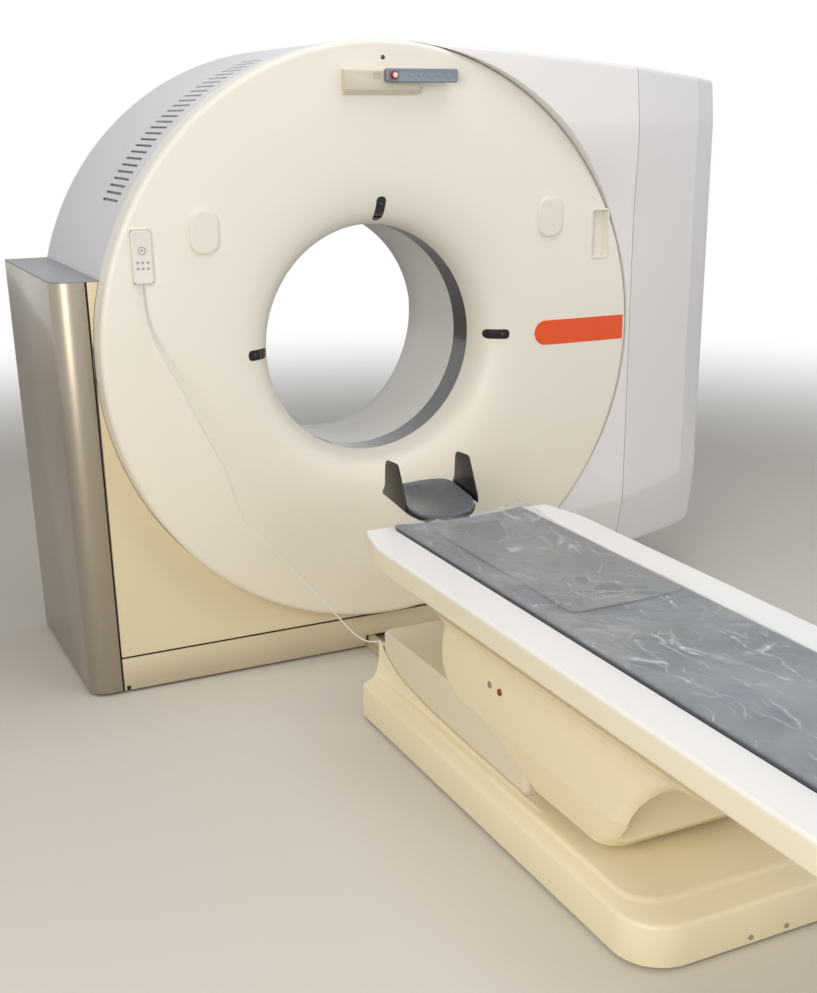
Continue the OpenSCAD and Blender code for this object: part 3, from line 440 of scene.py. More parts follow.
def bedPaint(name, shade, other, rough=0.5, weave=620.0):
    # coated bed fabric: a fine knit under a wipe-clean skin, its colour drifting along its length
    paint = Paint(name, Specular_IOR_Level=0.4, Sheen_Weight=0.15)
    knit = paint.noise(weave, 2.0)
    cloud = paint.noise(3.2, 5.0)
    crease = paint.noise(11.0, 4.0, 0.6, paint.stretched((1, 0.35, 1), (0, 0, 0.5)))
    tint = paint.mix(paint.ramp(cloud, (0.35, 0.0), (0.65, 1.0)), shade, other)
    # the knit tone darkens it a little; the darkening along the crease pattern is painted shade in the creases
    tint = paint.mix(knit * 0.04 + crease * 0.10, tint, deeper(shade, 0.45))
    normal = paint.bump(crease, 0.25, 0.004)
    normal = paint.bump(knit, 0.10, 0.0002, normal)
    return paint.set(Base_Color=tint, Roughness=crease * 0.2 + (rough - 0.1), Normal=normal).material


# layers of painted highlight lines along the creases: scale, stretch, turn, width, and where the noise that
# breaks them up starts and ends
filmHighlightLines = ((8.0, (1.0, 0.22, 1.0), 0.75, 0.012, 0.47, 0.62),
               (17.0, (1.0, 0.20, 1.0), 0.95, 0.018, 0.50, 0.64),
               (15.0, (1.0, 0.26, 1.0), -0.75, 0.016, 0.55, 0.68))


def filmPaint(name):
    # clear plastic sheet: see-through on the flat, painted white highlight streaks where it is creased
    paint = Paint(name, Base_Color=rgb(244, 246, 248), Specular_IOR_Level=0.8,
                  Coat_Weight=0.5, Coat_Roughness=0.05)
    warp = paint.noise(2.6, 3.0, 0.6, None, 1)
    bent = paint.add("ShaderNodeVectorMath", {"operation": "MULTIPLY_ADD"},
                     {0: warp, 1: (0.24, 0.24, 0.0), 2: paint.spot})
    highlightStreaks = []
    for scale, size, turn, wide, start, end in filmHighlightLines:
        laid = paint.add("ShaderNodeMapping", {}, {"Vector": bent, "Scale": size, "Rotation": (0, 0, turn)})
        edge = paint.add("ShaderNodeTexVoronoi", {"feature": "DISTANCE_TO_EDGE"},
                         {"Vector": laid, "Scale": scale})
        line = paint.ramp(edge, (0.0, 1.0), (wide, 0.35), (wide * 2.2, 0.0))
        highlightStreaks.append(line * paint.ramp(paint.noise(scale * 0.8, 2.0), (start, 0.0), (end, 1.0)))
    highlightStreak = highlightStreaks[0] + highlightStreaks[1] * 0.8 + highlightStreaks[2] * 0.6
    cloud = paint.ramp(paint.noise(5.0, 4.0, 0.6, bent), (0.42, 0.0), (0.68, 1.0))
    small = paint.noise(42.0, 3.0)
    paint.set(Roughness=small * 0.14 + 0.08, Normal=paint.bump(highlightStreak + cloud * 0.3, 0.7, 0.006))
    clearWay = paint.add("ShaderNodeBsdfTransparent", {}, {"Color": (0.96, 0.97, 0.97, 1)})
    # where the painted highlight streaks run, the sheet turns white and more opaque
    both = paint.add("ShaderNodeMixShader", {}, {0: highlightStreak * 0.46 + cloud * 0.13 + 0.10, 1: clearWay})
    paint.tree.links.new(paint.shader.outputs[0], both.socket.node.inputs[2])
    paint.tree.links.new(both.socket, paint.out.inputs[0])
    return paint.material


def rubberPaint(name, shade, rough=0.7):
    paint = Paint(name, Specular_IOR_Level=0.3)
    grain = paint.noise(300.0, 3.0)
    cloud = paint.noise(14.0, 3.0)
    tint = paint.mix(cloud * 0.35, shade, tuple(min(1, c * 1.8 + 0.01) for c in shade[:3]) + (1,))
    return paint.set(Base_Color=tint, Roughness=grain * 0.15 + (rough - 0.08),
                     Normal=paint.bump(grain, 0.2, 0.0004)).material


def glassPaint(name, shade, rough=0.08):
    # dark glossy polymer window, faintly smeared
    paint = Paint(name, Specular_IOR_Level=0.6, Coat_Weight=0.4, Coat_Roughness=0.05)
    smear = paint.noise(7.0, 5.0, 0.6, paint.stretched((1, 3, 1)))
    tint = paint.mix(smear * 0.3, shade, tuple(min(1, c * 1.9) for c in shade[:3]) + (1,))
    return paint.set(Base_Color=tint, Roughness=smear * 0.12 + rough,
                     Normal=paint.bump(smear, 0.03, 0.001)).material


# the front cover's warmer tint low down is painted warm light
coverWhite = mouldedPaint("cover_white", rgb(241, 236, 225), 0.38, stain=0.05, paintedWarmth=0.35)
wingWhite = mouldedPaint("wing_white", rgb(234, 232, 232), 0.42, stain=0.06)
drumWhite = mouldedPaint("drum_white", rgb(222, 223, 226), 0.45, stain=0.08)
tunnelWhite = mouldedPaint("tunnel_white", rgb(224, 222, 218), 0.35, stain=0.06)
# the cream and greige of the lower panels, kick plate, base, skirts and saddle are painted warm light on white
# plastic
panelWarmLit = mouldedPaint("panel_cream", rgb(230, 217, 184), 0.40, stain=0.08, darkerLow=0.25)
kickWarmLit = mouldedPaint("kick_cream", rgb(222, 210, 180), 0.42, stain=0.10, darkerLow=0.45)
tubWarmLit = mouldedPaint("tub_cream", rgb(244, 232, 198), 0.38, stain=0.06, darkerLow=0.10)
skirtWarmLit = mouldedPaint("skirt_greige", rgb(226, 217, 192), 0.50, stain=0.08)
saddleWarmLit = mouldedPaint("saddle_cream", rgb(240, 227, 192), 0.40, stain=0.05)
# the deck's cream sides are painted warm light
deckWhite = mouldedPaint("deck_white", rgb(240, 238, 236), 0.36, stain=0.04, side=rgb(236, 227, 202))
sideChampagne = champagnePaint("side_champagne", rgb(176, 166, 150))
# the shoulder's bluish grey is the side's paint as lit from above: painted light
shoulderLitGrey = mouldedPaint("shoulder_lit_grey", rgb(150, 152, 158), 0.45, stain=0.12)
bandOrange = mouldedPaint("band_orange", rgb(236, 88, 38), 0.34, peel=0.04, stain=0.03)
barGrey = metalPaint("bar_grey", rgb(140, 147, 158), 0.34, 0.55, (1, 60, 60), 30.0)
beigePlastic = mouldedPaint("beige_plastic", rgb(214, 205, 188), 0.45, stain=0.06)
padCream = mouldedPaint("pad_cream", rgb(236, 231, 220), 0.42, stain=0.05)
handsetWhite = mouldedPaint("handset_white", rgb(232, 230, 224), 0.38, stain=0.05)
keyGrey = mouldedPaint("key_grey", rgb(172, 172, 168), 0.4, stain=0.08)
signalRed = mouldedPaint("signal_red", rgb(176, 34, 24), 0.3, peel=0.03, stain=0.06)
ventGrey = mouldedPaint("vent_grey", rgb(168, 172, 180), 0.6, stain=0.05)
releaseGrey = mouldedPaint("release_grey", rgb(142, 137, 118), 0.4, stain=0.08)
stopRed = mouldedPaint("stop_red", rgb(124, 44, 30), 0.35, peel=0.03, stain=0.06)
cordGrey = rubberPaint("cord_grey", rgb(206, 203, 196), 0.5)
gasketRubber = rubberPaint("gasket_rubber", rgb(40, 32, 27), 0.75)
blackPlastic = rubberPaint("black_plastic", rgb(24, 24, 26), 0.5)
windowDark = glassPaint("window_dark", rgb(40, 41, 44), 0.20)
lensBlack = glassPaint("lens_black", rgb(14, 14, 17), 0.07)
carbonBlack = carbonPaint("carbon_black")
cradleCarbon = carbonPaint("cradle_carbon")
bedFabric = bedPaint("bed_fabric", rgb(118, 122, 124), rgb(104, 110, 124), 0.46, 260.0)
overlayGrey = bedPaint("overlay_grey", rgb(122, 126, 123), rgb(112, 118, 122), 0.45, 260.0)
padGrey = bedPaint("pad_grey", rgb(98, 102, 105), rgb(86, 92, 96), 0.26, 240.0)
filmClear = filmPaint("film_clear")
framePaint = powderPaint("frame_paint", rgb(92, 96, 102))
machineGrey = powderPaint("machine_grey", rgb(152, 156, 160), 0.5)
bearingSteel = metalPaint("bearing_steel", rgb(190, 192, 196), 0.25, 1.0, (1, 60, 1), 12.0)
copperCoils = metalPaint("copper_coils", rgb(190, 112, 62), 0.32, 1.0, (1, 90, 1), 20.0)
magnetSteel = metalPaint("magnet_steel", rgb(120, 122, 128), 0.4)
slipBrass = metalPaint("slip_brass", rgb(200, 164, 96), 0.25, 1.0, (1, 60, 1), 20.0)
aluHousing = metalPaint("alu_housing", rgb(184, 187, 190), 0.38, 0.9)
aluDark = powderPaint("alu_dark", rgb(64, 68, 74), 0.45, 0.4)
screwSteel = metalPaint("screw_steel", rgb(188, 189, 190), 0.3)
print("paints mixed:", len(bpy.data.materials))


def dress(piece, paint, slot, body, *nodes, angle=None):
    # paint, slot and body of a piece, the solids that it replaces, the angle up to which it is smooth; the slot
    # is not used
    if angle:
        smooth(piece, angle)
    piece.data.materials.clear()
    piece.data.materials.append(paint)
    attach(piece, body)
    if nodes:
        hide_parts(*nodes)
    return piece


# camera: where the photograph was taken from
photo = {"width": 817, "height": 993, "focal": 1334.9, "middle": (447.98, 586.61),
         "place": (-1.6636, -3.925, 1.6728), "yaw": 0.4638, "pitch": -0.3401, "roll": -0.0067}


def addCamera(shot):
    clear()
    bpy.ops.object.camera_add(location=shot["place"])
    camera = bpy.context.object
    long = max(shot["width"], shot["height"])
    camera.data.sensor_width = 36
    camera.data.lens = shot["focal"] * 36 / long
    camera.data.shift_x = (shot["width"] / 2 - shot["middle"][0]) / long
    camera.data.shift_y = (shot["middle"][1] - shot["height"] / 2) / long
    camera.data.clip_end = 60
    yaw, pitch, roll = shot["yaw"], shot["pitch"], shot["roll"]
    ahead = Vector((math.sin(yaw) * math.cos(pitch), math.cos(yaw) * math.cos(pitch), math.sin(pitch)))
    right = Vector((math.cos(yaw), -math.sin(yaw), 0))
    up = right.cross(ahead)
    right, up = (math.cos(roll) * right + math.sin(roll) * up, math.cos(roll) * up - math.sin(roll) * right)
    turn = Matrix((right, up, -ahead)).transposed()
    camera.rotation_euler = turn.to_euler()
    bpy.context.scene.camera = camera


addCamera(photo)
print("camera placed")

# handset cord
cordSizes = {"diameter": 0.005, "route": [
    (-739, -207, 1235.7), (-728, -215, 1115), (-658, -270, 936), (-617, -302, 829), (-575, -334, 723),
    (-535, -367, 577), (-470, -415, 485), (-411, -461, 404), (-368, -495, 353), (-331, -524, 305),
    (-300, -549, 262), (-275, -567, 235), (-254, -582, 224), (-236, -594, 224), (-222, -600, 222),
    (-212, -602, 213), (-206, -604, 200), (-204, -607, 186), (-203, -613, 179), (-203, -620, 178)]}


def makeCord(sizes):
    route = [Vector(p) / 1000 for p in sizes["route"]]
    line = bpy.data.curves.new("handsetCord", "CURVE")
    line.dimensions = "3D"
    line.bevel_depth = sizes["diameter"] / 2
    line.bevel_resolution = 5
    line.resolution_u = 8
    line.use_fill_caps = True
    strand = line.splines.new("BEZIER")
    strand.bezier_points.add(len(route) - 1)
    for point, spot in zip(strand.bezier_points, route):
        point.co = spot
        point.handle_left_type = point.handle_right_type = "AUTO"
    cord = bpy.data.objects.new("handsetCord", line)
    bpy.context.scene.collection.objects.link(cord)
    dress(cord, cordGrey, "cord_grey", "gantry", "handset_cord")


makeCord(cordSizes)
print("cord laid")

# round front cover with its funnel
coverSizes = {"rim": 0.867, "rimRound": 0.016, "front": -0.200, "back": -0.1153, "bore": 0.350, "wall": 0.005,
              "funnelEnd": -0.0488, "rimRows": (-0.14, -0.182),
              "flatRings": (0.8495, 0.78, 0.72, 0.6925, 0.6905), "funnelRows": 84,
              "inside": ((0.38, -0.10), (0.52, -0.16), (0.70, -0.18))}
dockSizes = {"left": -0.732, "right": 0.753, "z": 1.309, "width": 0.064, "height": 0.152, "front": -0.2025,
             "back": -0.182, "cut": (-0.22, -0.17)}
# the funnel's section, as the four points (radius, y) of a curve from the crease to the bore
funnelPull = [(0.690, -0.200), (0.440, -0.192), (0.350, -0.196), (0.350, -0.0488)]


def bezier(pull, t):
    a, b, c, d = [np.array(p) for p in pull]
    t = np.asarray(t, float)[..., None]
    return (1 - t) ** 3 * a + 3 * (1 - t) ** 2 * t * b + 3 * (1 - t) * t * t * c + t ** 3 * d


funnelLine = bezier(funnelPull, np.linspace(0, 1, 400))


def frontAt(radius):
    # depth of the front cover's face at a distance from the bore axis
    return np.where(radius >= funnelPull[0][0], funnelPull[0][1],
                    np.interp(radius, funnelLine[::-1, 0], funnelLine[::-1, 1]))


def makeFrontCover(s):
    rings = [(s["rim"], s["back"])] + [(s["rim"], y) for y in s["rimRows"]]
    for i in range(1, 9):
        a = math.radians(90 * i / 8)
        rings.append((s["rim"] - s["rimRound"] * (1 - math.cos(a)),
                      s["front"] + s["rimRound"] * (1 - math.sin(a))))
    rings += [(r, s["front"]) for r in s["flatRings"]]
    rings += [(float(r), float(y)) for r, y in bezier(funnelPull, np.linspace(0.008, 1, s["funnelRows"]))]
    # back along the inside of the cover
    rings += [(s["bore"] + s["wall"], s["funnelEnd"]), *s["inside"], (0.852, s["front"] + s["wall"]),
              (s["rim"] - s["wall"], -0.17), (s["rim"] - s["wall"], s["back"]), (s["rim"], s["back"])]
    cover = turned("frontCover", rings, 256)
    dock = dockSizes
    for x in (dock["left"], dock["right"]):
        cutWith(cover, plate("cut", pill(x, dock["z"], dock["width"], dock["height"], 0.010), *dock["cut"]))
    dress(cover, coverWhite, "cover_white", "gantry", "front_cover", angle=30)


makeFrontCover(coverSizes)
print("front cover turned")


def onFunnel(name, outline, lift, depth, steps=6):
    # a thin pad that follows the funnel: outline in (x, z), raised by lift
    corners = np.array(outline + outline[:1])
    run = np.concatenate([[0], np.cumsum(np.hypot(*np.diff(corners, axis=0).T))])
    count = max(48, int(run[-1] / 0.0025))
    along = np.linspace(0, run[-1], count, endpoint=False)
    spots = np.stack([np.interp(along, run, corners[:, 0]), np.interp(along, run, corners[:, 1])], axis=1)
    middle = spots.mean(axis=0)
    rings = 12
    # share of the rows that lie on the face, and share of the way out where its edge starts to turn down
    face, bend = 0.86, 0.93

    def place(u, v):
        turn = around(u, count)
        reach = np.minimum(v / face, 1.0)
        x = middle[0] + (spots[turn, 0] - middle[0]) * reach
        z = middle[1] + (spots[turn, 1] - middle[1]) * reach
        y = frontAt(np.hypot(x, z - isoHeight))
        drop = np.clip((v - face) / (1 - face), 0, 1)
        edge = 1 - np.sqrt(np.clip(1 - np.clip((reach - bend) / (1 - bend), 0, 1) ** 2, 0, 1))
        y = y - lift * (1 - edge * 0.75) + drop * depth
        return x, y, z
    piece = surface(name, count, rings + steps, place, True)
    openUp(piece)
    faceOut()
    shut()
    return piece


# seats for the tablets, laser windows, colour band
seatSizes = {"left": -0.552, "right": 0.566, "z": 1.368, "width": 0.084, "height": 0.120, "corner": 0.036,
             "lift": 0.009}


def makeSeats(s):
    pads = [onFunnel("seat", pill(s[side], s["z"], s["width"], s["height"], s["corner"], 12),
                     s["lift"], s["lift"] + 0.002) for side in ("left", "right")]
    pads = joined("tabletSeats", pads)
    dress(pads, padCream, "pad_cream", "gantry", "tablet_pads", angle=50)


makeSeats(seatSizes)

laserSizes = {"radius": 0.400, "long": 0.072, "wide": 0.031, "corner": 0.0125, "lens": 0.0045, "shift": 0.014,
              "topLens": 0.0067, "topPlace": (0.004, -0.1995, 1.827)}


def makeLasers(s):
    windows = []
    lenses = []
    # the right, the left and the top window, each with a lens off its middle
    for side, up in ((1, 0), (-1, 0), (0, 1)):
        across, tall = (s["wide"], s["long"]) if up else (s["long"], s["wide"])
        outline = pill(side * s["radius"], isoHeight + up * s["radius"], across, tall, s["corner"], 10)
        windows.append(onFunnel("window", outline, 0.0012, 0.004))
        far = s["radius"] + s["shift"]
        clear()
        bpy.ops.mesh.primitive_uv_sphere_add(
            radius=s["lens"], segments=20, ring_count=10, scale=(1, 0.55, 1),
            location=(side * far, float(frontAt(np.array(far))) - 0.0002, isoHeight + up * far))
        lenses.append(added("lens"))
    clear()
    bpy.ops.mesh.primitive_uv_sphere_add(radius=s["topLens"], segments=24, ring_count=12,
                                         location=s["topPlace"], scale=(1, 0.5, 1))
    lenses.append(added("lens"))
    windows = joined("laserWindows", windows)
    dress(windows, lensBlack, "lens_black", "gantry", "optical_windows", angle=50)
    lenses = joined("laserLenses", lenses)
    dress(lenses, windowDark, "lens_black", "gantry", "optical_windows", angle=60)


makeLasers(laserSizes)

bandSizes = {"x0": 0.520, "x1": 0.851, "z": 1.007, "height": 0.078, "proud": 0.0012}


def makeBand(s):
    half = s["height"] / 2

    # rows of points, so that it can follow the funnel
    def place(u, v):
        x = s["x0"] + (s["x1"] - s["x0"]) * u
        inset = np.clip(s["x0"] + half - x, 0, half)
        reach = np.sqrt(np.clip(half ** 2 - inset ** 2, 0, None))
        z = s["z"] + reach * (2 * v - 1)
        y = frontAt(np.hypot(x, z - isoHeight)) - s["proud"]
        return x, y, z
    band = surface("colourBand", 160, 16, place, True)
    apply(band, "SOLIDIFY", thickness=s["proud"] + 0.001, offset=-1)
    mend(band)
    dress(band, bandOrange, "band_orange", "gantry", "colour_band", angle=50)


makeBand(bandSizes)
print("seats, windows and band laid on the funnel")

# bore: dark scan window, tunnel and its rear flare
boreSizes = {"radius": 0.350, "half": 0.0485, "wall": 0.005, "lip": 0.0035, "edge": 0.0008, "row": 0.024,
             "gap": 0.0003, "flare": 0.523}
# the rear flare's section, as the four points (radius, y) of a curve
flarePull = [(0.350, 0.250), (0.350, 0.400), (0.410, 0.560), (0.520, 0.6147)]


def makeBore(s):
    r, w, lip, edge, row = s["radius"], s["half"], s["lip"], s["edge"], s["row"]
    window = turned("scanWindow", [(r + lip, -w), (r + edge, -w), (r, -w + edge), (r, -row), (r, 0), (r, row),
                                   (r, w - edge), (r + edge, w), (r + lip, w), (r + lip, -w)], 192)
    dress(window, windowDark, "window_dark", "gantry", "scan_window", angle=40)
    start = w + s["gap"]
    rings = [(r + s["wall"], start), (r + 0.001, start), (r, start + 0.001), (r, 0.12), (r, 0.2)]
    rings += [(float(a), float(b)) for a, b in bezier(flarePull, np.linspace(0, 1, 26))]
    rings += [(s["flare"], 0.6142), (0.425, 0.555), (0.365, 0.42), (r + s["wall"], 0.25),
              (r + s["wall"], start)]
    tunnel = turned("rearTunnel", rings, 192)
    dress(tunnel, tunnelWhite, "cover_white", "gantry", "rear_tunnel", angle=35)


makeBore(boreSizes)
print("bore turned")

# drum with its vent slots
drumSizes = {"outer": 0.867, "inner": 0.862, "front": -0.114, "back": 0.6147, "start": -40, "sweep": 260,
             "slots": 27, "first": 149.6, "pitch": 1.5, "slotWidth": 0.008, "slotDepth": 0.03,
             "slotFrom": -0.045, "slotTo": 0.140, "lining": 0.858, "past": 0.010}


def makeDrum(s):
    clear()
    start = math.radians(s["start"])
    bpy.ops.mesh.primitive_plane_add(size=1)
    drum = added("drumShell")
    corners = [(r, y) for y in (s["front"], s["back"]) for r in (s["inner"], s["outer"])]
    for point, (r, y) in zip(drum.data.vertices, corners):
        point.co = (r * math.cos(start), y, isoHeight + r * math.sin(start))
    openUp(drum)
    allIn()
    bpy.ops.mesh.spin(steps=200, angle=math.radians(s["sweep"]), center=(0, 0, isoHeight), axis=(0, -1, 0))
    allIn()
    bpy.ops.mesh.remove_doubles(threshold=0.00002)
    bpy.ops.mesh.normals_make_consistent(inside=False)
    shut()
    cutters = []
    middle = (s["inner"] + s["outer"]) / 2
    for i in range(s["slots"]):
        a = math.radians(s["first"] - i * s["pitch"])
        out = Vector((math.cos(a), 0, math.sin(a)))
        side = Vector((-math.sin(a), 0, math.cos(a)))
        cutter = slab("cut", (-0.5, -0.5, -0.5), (0.5, 0.5, 0.5))
        for point in cutter.data.vertices:
            y = s["slotFrom"] + (s["slotTo"] - s["slotFrom"]) * (point.co.y + 0.5)
            point.co = (out * (middle + point.co.x * s["slotDepth"]) + side * (point.co.z * s["slotWidth"])
                        + Vector((0, y, isoHeight)))
        cutters.append(cutter)
    cutWith(drum, joined("cut", cutters))

    # a mesh strip that backs the vents, a little past them on all sides
    def strip(u, v):
        a = np.radians(s["first"] + s["pitch"] - (s["slots"] + 1) * s["pitch"] * u)
        y = s["slotFrom"] - s["past"] + (s["slotTo"] - s["slotFrom"] + 2 * s["past"]) * v
        return s["lining"] * np.cos(a), y, isoHeight + s["lining"] * np.sin(a)
    drum = joined("drumShell", [drum, surface("ventMesh", 60, 2, strip, False)])
    dress(drum, drumWhite, "cover_white", "gantry", "drum_shell", angle=30)
    drum.data.materials.append(ventGrey)
    for face in drum.data.polygons:
        if math.hypot(face.center.x, face.center.z - isoHeight) < s["lining"] + 0.001:
            face.material_index = 1


makeDrum(drumSizes)
print("drum spun and slotted")

# wing on the right
wingSizes = {"from": 0.100, "edge": 1.364, "low": 0.220, "top": 1.877, "fall": 0.085, "sweep": 0.165,
             "bulge": 0.050, "solidBulge": 0.110, "bulgeAt": 0.4, "bulgeWide": 0.427, "bulgeFrom": 1.3,
             "bulgeRise": 0.32, "seam": 0.880, "seamWidth": 0.003, "round": 0.070, "back": 0.6147,
             "clear": 0.869, "crease": 0.410, "creaseRise": 0.12, "lowRows": 0.13,
             "leanFrom": 1.64, "lean": 0.123, "slope": 0.24, "cornerFrom": 1.190, "front": -0.200}


def easing(t):
    c = np.clip(t, 0, 1)
    return c * c * (3 - 2 * c)


def rounding(depth, radius):
    d = np.clip(depth, 0, radius)
    return radius - np.sqrt(np.clip(radius ** 2 - (radius - d) ** 2, 0, None))


def wingTop(x):
    return wingSizes["top"] - wingSizes["fall"] * x * x / (x + 0.120)


def wingCrease(x):
    # height of the line below which the front slopes back
    return wingSizes["crease"] + wingSizes["creaseRise"] * (x - wingSizes["seam"])


def swellUp(z):
    return easing((z - wingSizes["bulgeFrom"]) / wingSizes["bulgeRise"])


def swellOut(x):
    return np.exp(-((x - wingSizes["bulgeAt"]) / wingSizes["bulgeWide"]) ** 2)


def wingFace(x, z):
    # depth of the front: sweep to the side, swell, lean of the top, slope below the crease, low end by the disc
    s = wingSizes
    t = np.clip((x - s["seam"]) / (s["edge"] - s["seam"]), 0, None)
    swept = s["sweep"] * (0.82 * t + 0.18 * t * t)
    swell = np.where(x < s["bulgeAt"], np.maximum(0.25, 1 - ((s["bulgeAt"] - x) / 0.265) ** 2), swellOut(x))
    lower = np.maximum(0, wingCrease(x) - z)
    return (s["front"] + swept - s["bulge"] * swell * swellUp(z) + np.maximum(0, z - s["leanFrom"]) * s["lean"]
            + s["slope"] * np.hypot(1.2 * np.maximum(0, x - s["cornerFrom"]), lower)
            + 0.012 * easing((0.9 - z) / 0.4) * easing((0.92 - x) / 0.2))


def makeWing(s):
    # columns close together where the face bends: at the seam, where it slopes back and at the edge
    xs = np.concatenate([np.linspace(s["from"], 0.875, 90), [0.8785, 0.8815], np.linspace(0.886, 1.186, 40),
                         [1.190, 1.194], np.linspace(1.20, s["edge"] - s["round"], 14),
                         s["edge"] - s["round"] * (1 - np.sin(np.linspace(0, math.pi / 2, 12)))[1:]])
    us = np.concatenate([[0.0, 0.0006, 0.002, 0.0045, 0.0085], np.linspace(0.014, 0.986, 150),
                         [0.9915, 0.9955, 0.998, 0.9994, 1.0]])
    loop = len(us) + 2

    def place(u, v):
        row = np.round(v * (len(xs) - 1)).astype(int)
        spot = around(u, loop)
        x = xs[row]
        low = s["low"] + rounding(s["edge"] - x, 0.09)
        high = wingTop(x)
        w = us[np.clip(spot, 0, len(us) - 1)]
        # the rows keep to the crease, so that it stays crisp
        crease, share = wingCrease(x), s["lowRows"]
        z = np.where(w < share, low + (crease - low) * w / share,
                     crease + (high - crease) * (w - share) / (1 - share))
        side = rounding(s["edge"] - x, s["round"])
        y = wingFace(x, z) + side + rounding(high - z, 0.014) + rounding(z - low, 0.014)
        back = spot >= len(us)
        z = np.where(spot == len(us), high, np.where(spot == len(us) + 1, low, z))
        y = np.where(back, s["back"], y)
        return x, y, z
    body = surface("wing", loop, len(xs) - 1, place, True)
    capped(body)
    clear()
    bpy.ops.mesh.primitive_cylinder_add(vertices=256, radius=s["clear"], depth=3, location=(0, 0, isoHeight),
                                        rotation=(math.pi / 2, 0, 0))
    cutWith(body, added("cut"))
    halves = []
    for name, sign in (("wingFront", -1), ("wingSide", 1)):
        half = twin(body, name)
        openUp(half)
        allIn()
        bpy.ops.mesh.bisect(plane_co=(s["seam"] + sign * s["seamWidth"] / 2, 0, 0), plane_no=(sign, 0, 0),
                            use_fill=True, clear_inner=True, clear_outer=False)
        shut()
        halves.append(half)
    bpy.data.objects.remove(body)
    for half, node in zip(halves, ("wing_front_cover", "wing_side_cover")):
        dress(half, wingWhite, "wing_white", "gantry", node, angle=12)


makeWing(wingSizes)


def makeGaskets(s):
    # the seal behind the wing's seam lies back with the wing's front, which is flatter here than in the solid
    seal = softened("coverGaskets", "cover_gaskets", 0)
    for point in seal.data.vertices:
        if point.co.x > s["seam"] - 0.02:
            point.co.y += (s["solidBulge"] - s["bulge"]) * float(swellOut(point.co.x) * swellUp(point.co.z))
    dress(seal, gasketRubber, "gasket_rubber", "gantry", "cover_gaskets")


makeGaskets(wingSizes)
print("wing formed")

# flat panels of the housing; a low angle keeps the rear cover's shallow grooves crisp
for name, node, paint, slot, width, angle in (
        ("sideCover", "side_cover", sideChampagne, "side_champagne", 0.0015, None),
        ("shoulderCover", "shoulder_cover", shoulderLitGrey, "side_champagne", 0.0012, None),
        ("lowerPanel", "lower_front_panel", panelWarmLit, "panel_cream", 0.0012, None),
        ("kickPlate", "kick_plate", kickWarmLit, "panel_cream", 0.0012, None),
        ("rearCover", "rear_cover", wingWhite, "cover_white", 0.001, 12)):
    dress(softened(name, node, width), paint, slot, "gantry", node, angle=angle)
print("panels edged")

# control bar, intercom and emergency button
barSizes = {"left": -0.006, "right": 0.220, "z": 1.778, "height": 0.038, "front": -0.250, "back": -0.226,
            "corner": 0.009, "stopX": 0.015, "keyX": 0.067, "keyPitch": 0.030}


def atFront(front, *rings):
    # rings given as (radius, distance behind the front)
    return [(r, front + y) for r, y in rings]


def makeBar(s):
    middle = (s["left"] + s["right"]) / 2
    bar = plate("controlBar", pill(middle, s["z"], s["right"] - s["left"], s["height"], s["corner"]),
                s["front"], s["back"], 0.003, 4)
    onFront(bar, s["front"])
    bpy.ops.mesh.inset(thickness=0.0035)
    bpy.ops.transform.translate(value=(0, 0.0006, 0))
    shut()
    smooth(bar, 35)
    front, spot = s["front"], (s["stopX"], s["z"])
    ring = turned("stopRing", atFront(
        front, (0.016, 0.001), (0.016, -0.002), (0.0152, -0.003), (0.0125, -0.003), (0.0115, -0.002),
        (0.0115, 0.004), (0.016, 0.004), (0.016, 0.001)), 48, spot)
    smooth(ring, 40)
    keys = []
    for x in (s["keyX"] + i * s["keyPitch"] for i in range(5)):
        keys.append(turned("key", atFront(front, (0.0001, 0.0003), (0.0045, 0.0003), (0.0055, 0.0005),
                                          (0.0055, 0.001)), 24, (x, s["z"])))
    keys = joined("barKeys", keys)
    smooth(keys, 50)
    stop = turned("emergencyButton", atFront(
        front, (0.0001, -0.011), (0.006, -0.011), (0.0085, -0.0102), (0.0098, -0.0085), (0.0105, -0.006),
        (0.0105, 0.003), (0.0001, 0.003)), 48, spot)
    smooth(stop, 40)
    dress(bar, barGrey, "bar_grey", "gantry", "control_bar")
    dress(ring, barGrey, "bar_grey", "gantry")
    dress(keys, barGrey, "bar_grey", "gantry")
    pearl = turned("stopPearl", atFront(
        front, (0.0001, -0.0116), (0.0062, -0.0114), (0.0070, -0.0108), (0.0071, -0.008), (0.0001, -0.008)),
        40, spot)
    dress(pearl, handsetWhite, "signal_red", "emergency_key", angle=50)
    dress(stop, signalRed, "signal_red", "emergency_key", "emergency_button")
    box = softened("intercomBox", "intercom_box", 0.002, 3)
    dress(box, beigePlastic, "beige_plastic", "gantry", "intercom_box")


makeBar(barSizes)
print("control bar made")


# docks and the handset
def makeDocks(s):
    trays = []
    for x in (s["left"], s["right"]):
        tray = plate("tray", pill(x, s["z"], s["width"] + 0.004, s["height"] + 0.004, 0.012),
                     s["front"], s["back"], 0.0015)
        onFront(tray, s["front"])
        bpy.ops.mesh.inset(thickness=0.0035)
        bpy.ops.mesh.extrude_region_move(TRANSFORM_OT_translate={"value": (0, 0.0008, 0)})
        bpy.ops.mesh.inset(thickness=0.0006)
        bpy.ops.mesh.extrude_region_move(TRANSFORM_OT_translate={"value": (0, 0.0175, 0)})
        shut()
        smooth(tray, 35)
        trays.append(tray)
    dress(joined("dockTrays", trays), padCream, "handset_white", "gantry", "dock_trays")


makeDocks(dockSizes)

handsetSizes = {"x": -0.732, "z": 1.309, "width": 0.056, "height": 0.143, "front": -0.210, "back": -0.1843,
                "recess": 0.0006, "dialUp": 0.018, "neck": (-0.739, -0.207, 1.2335)}


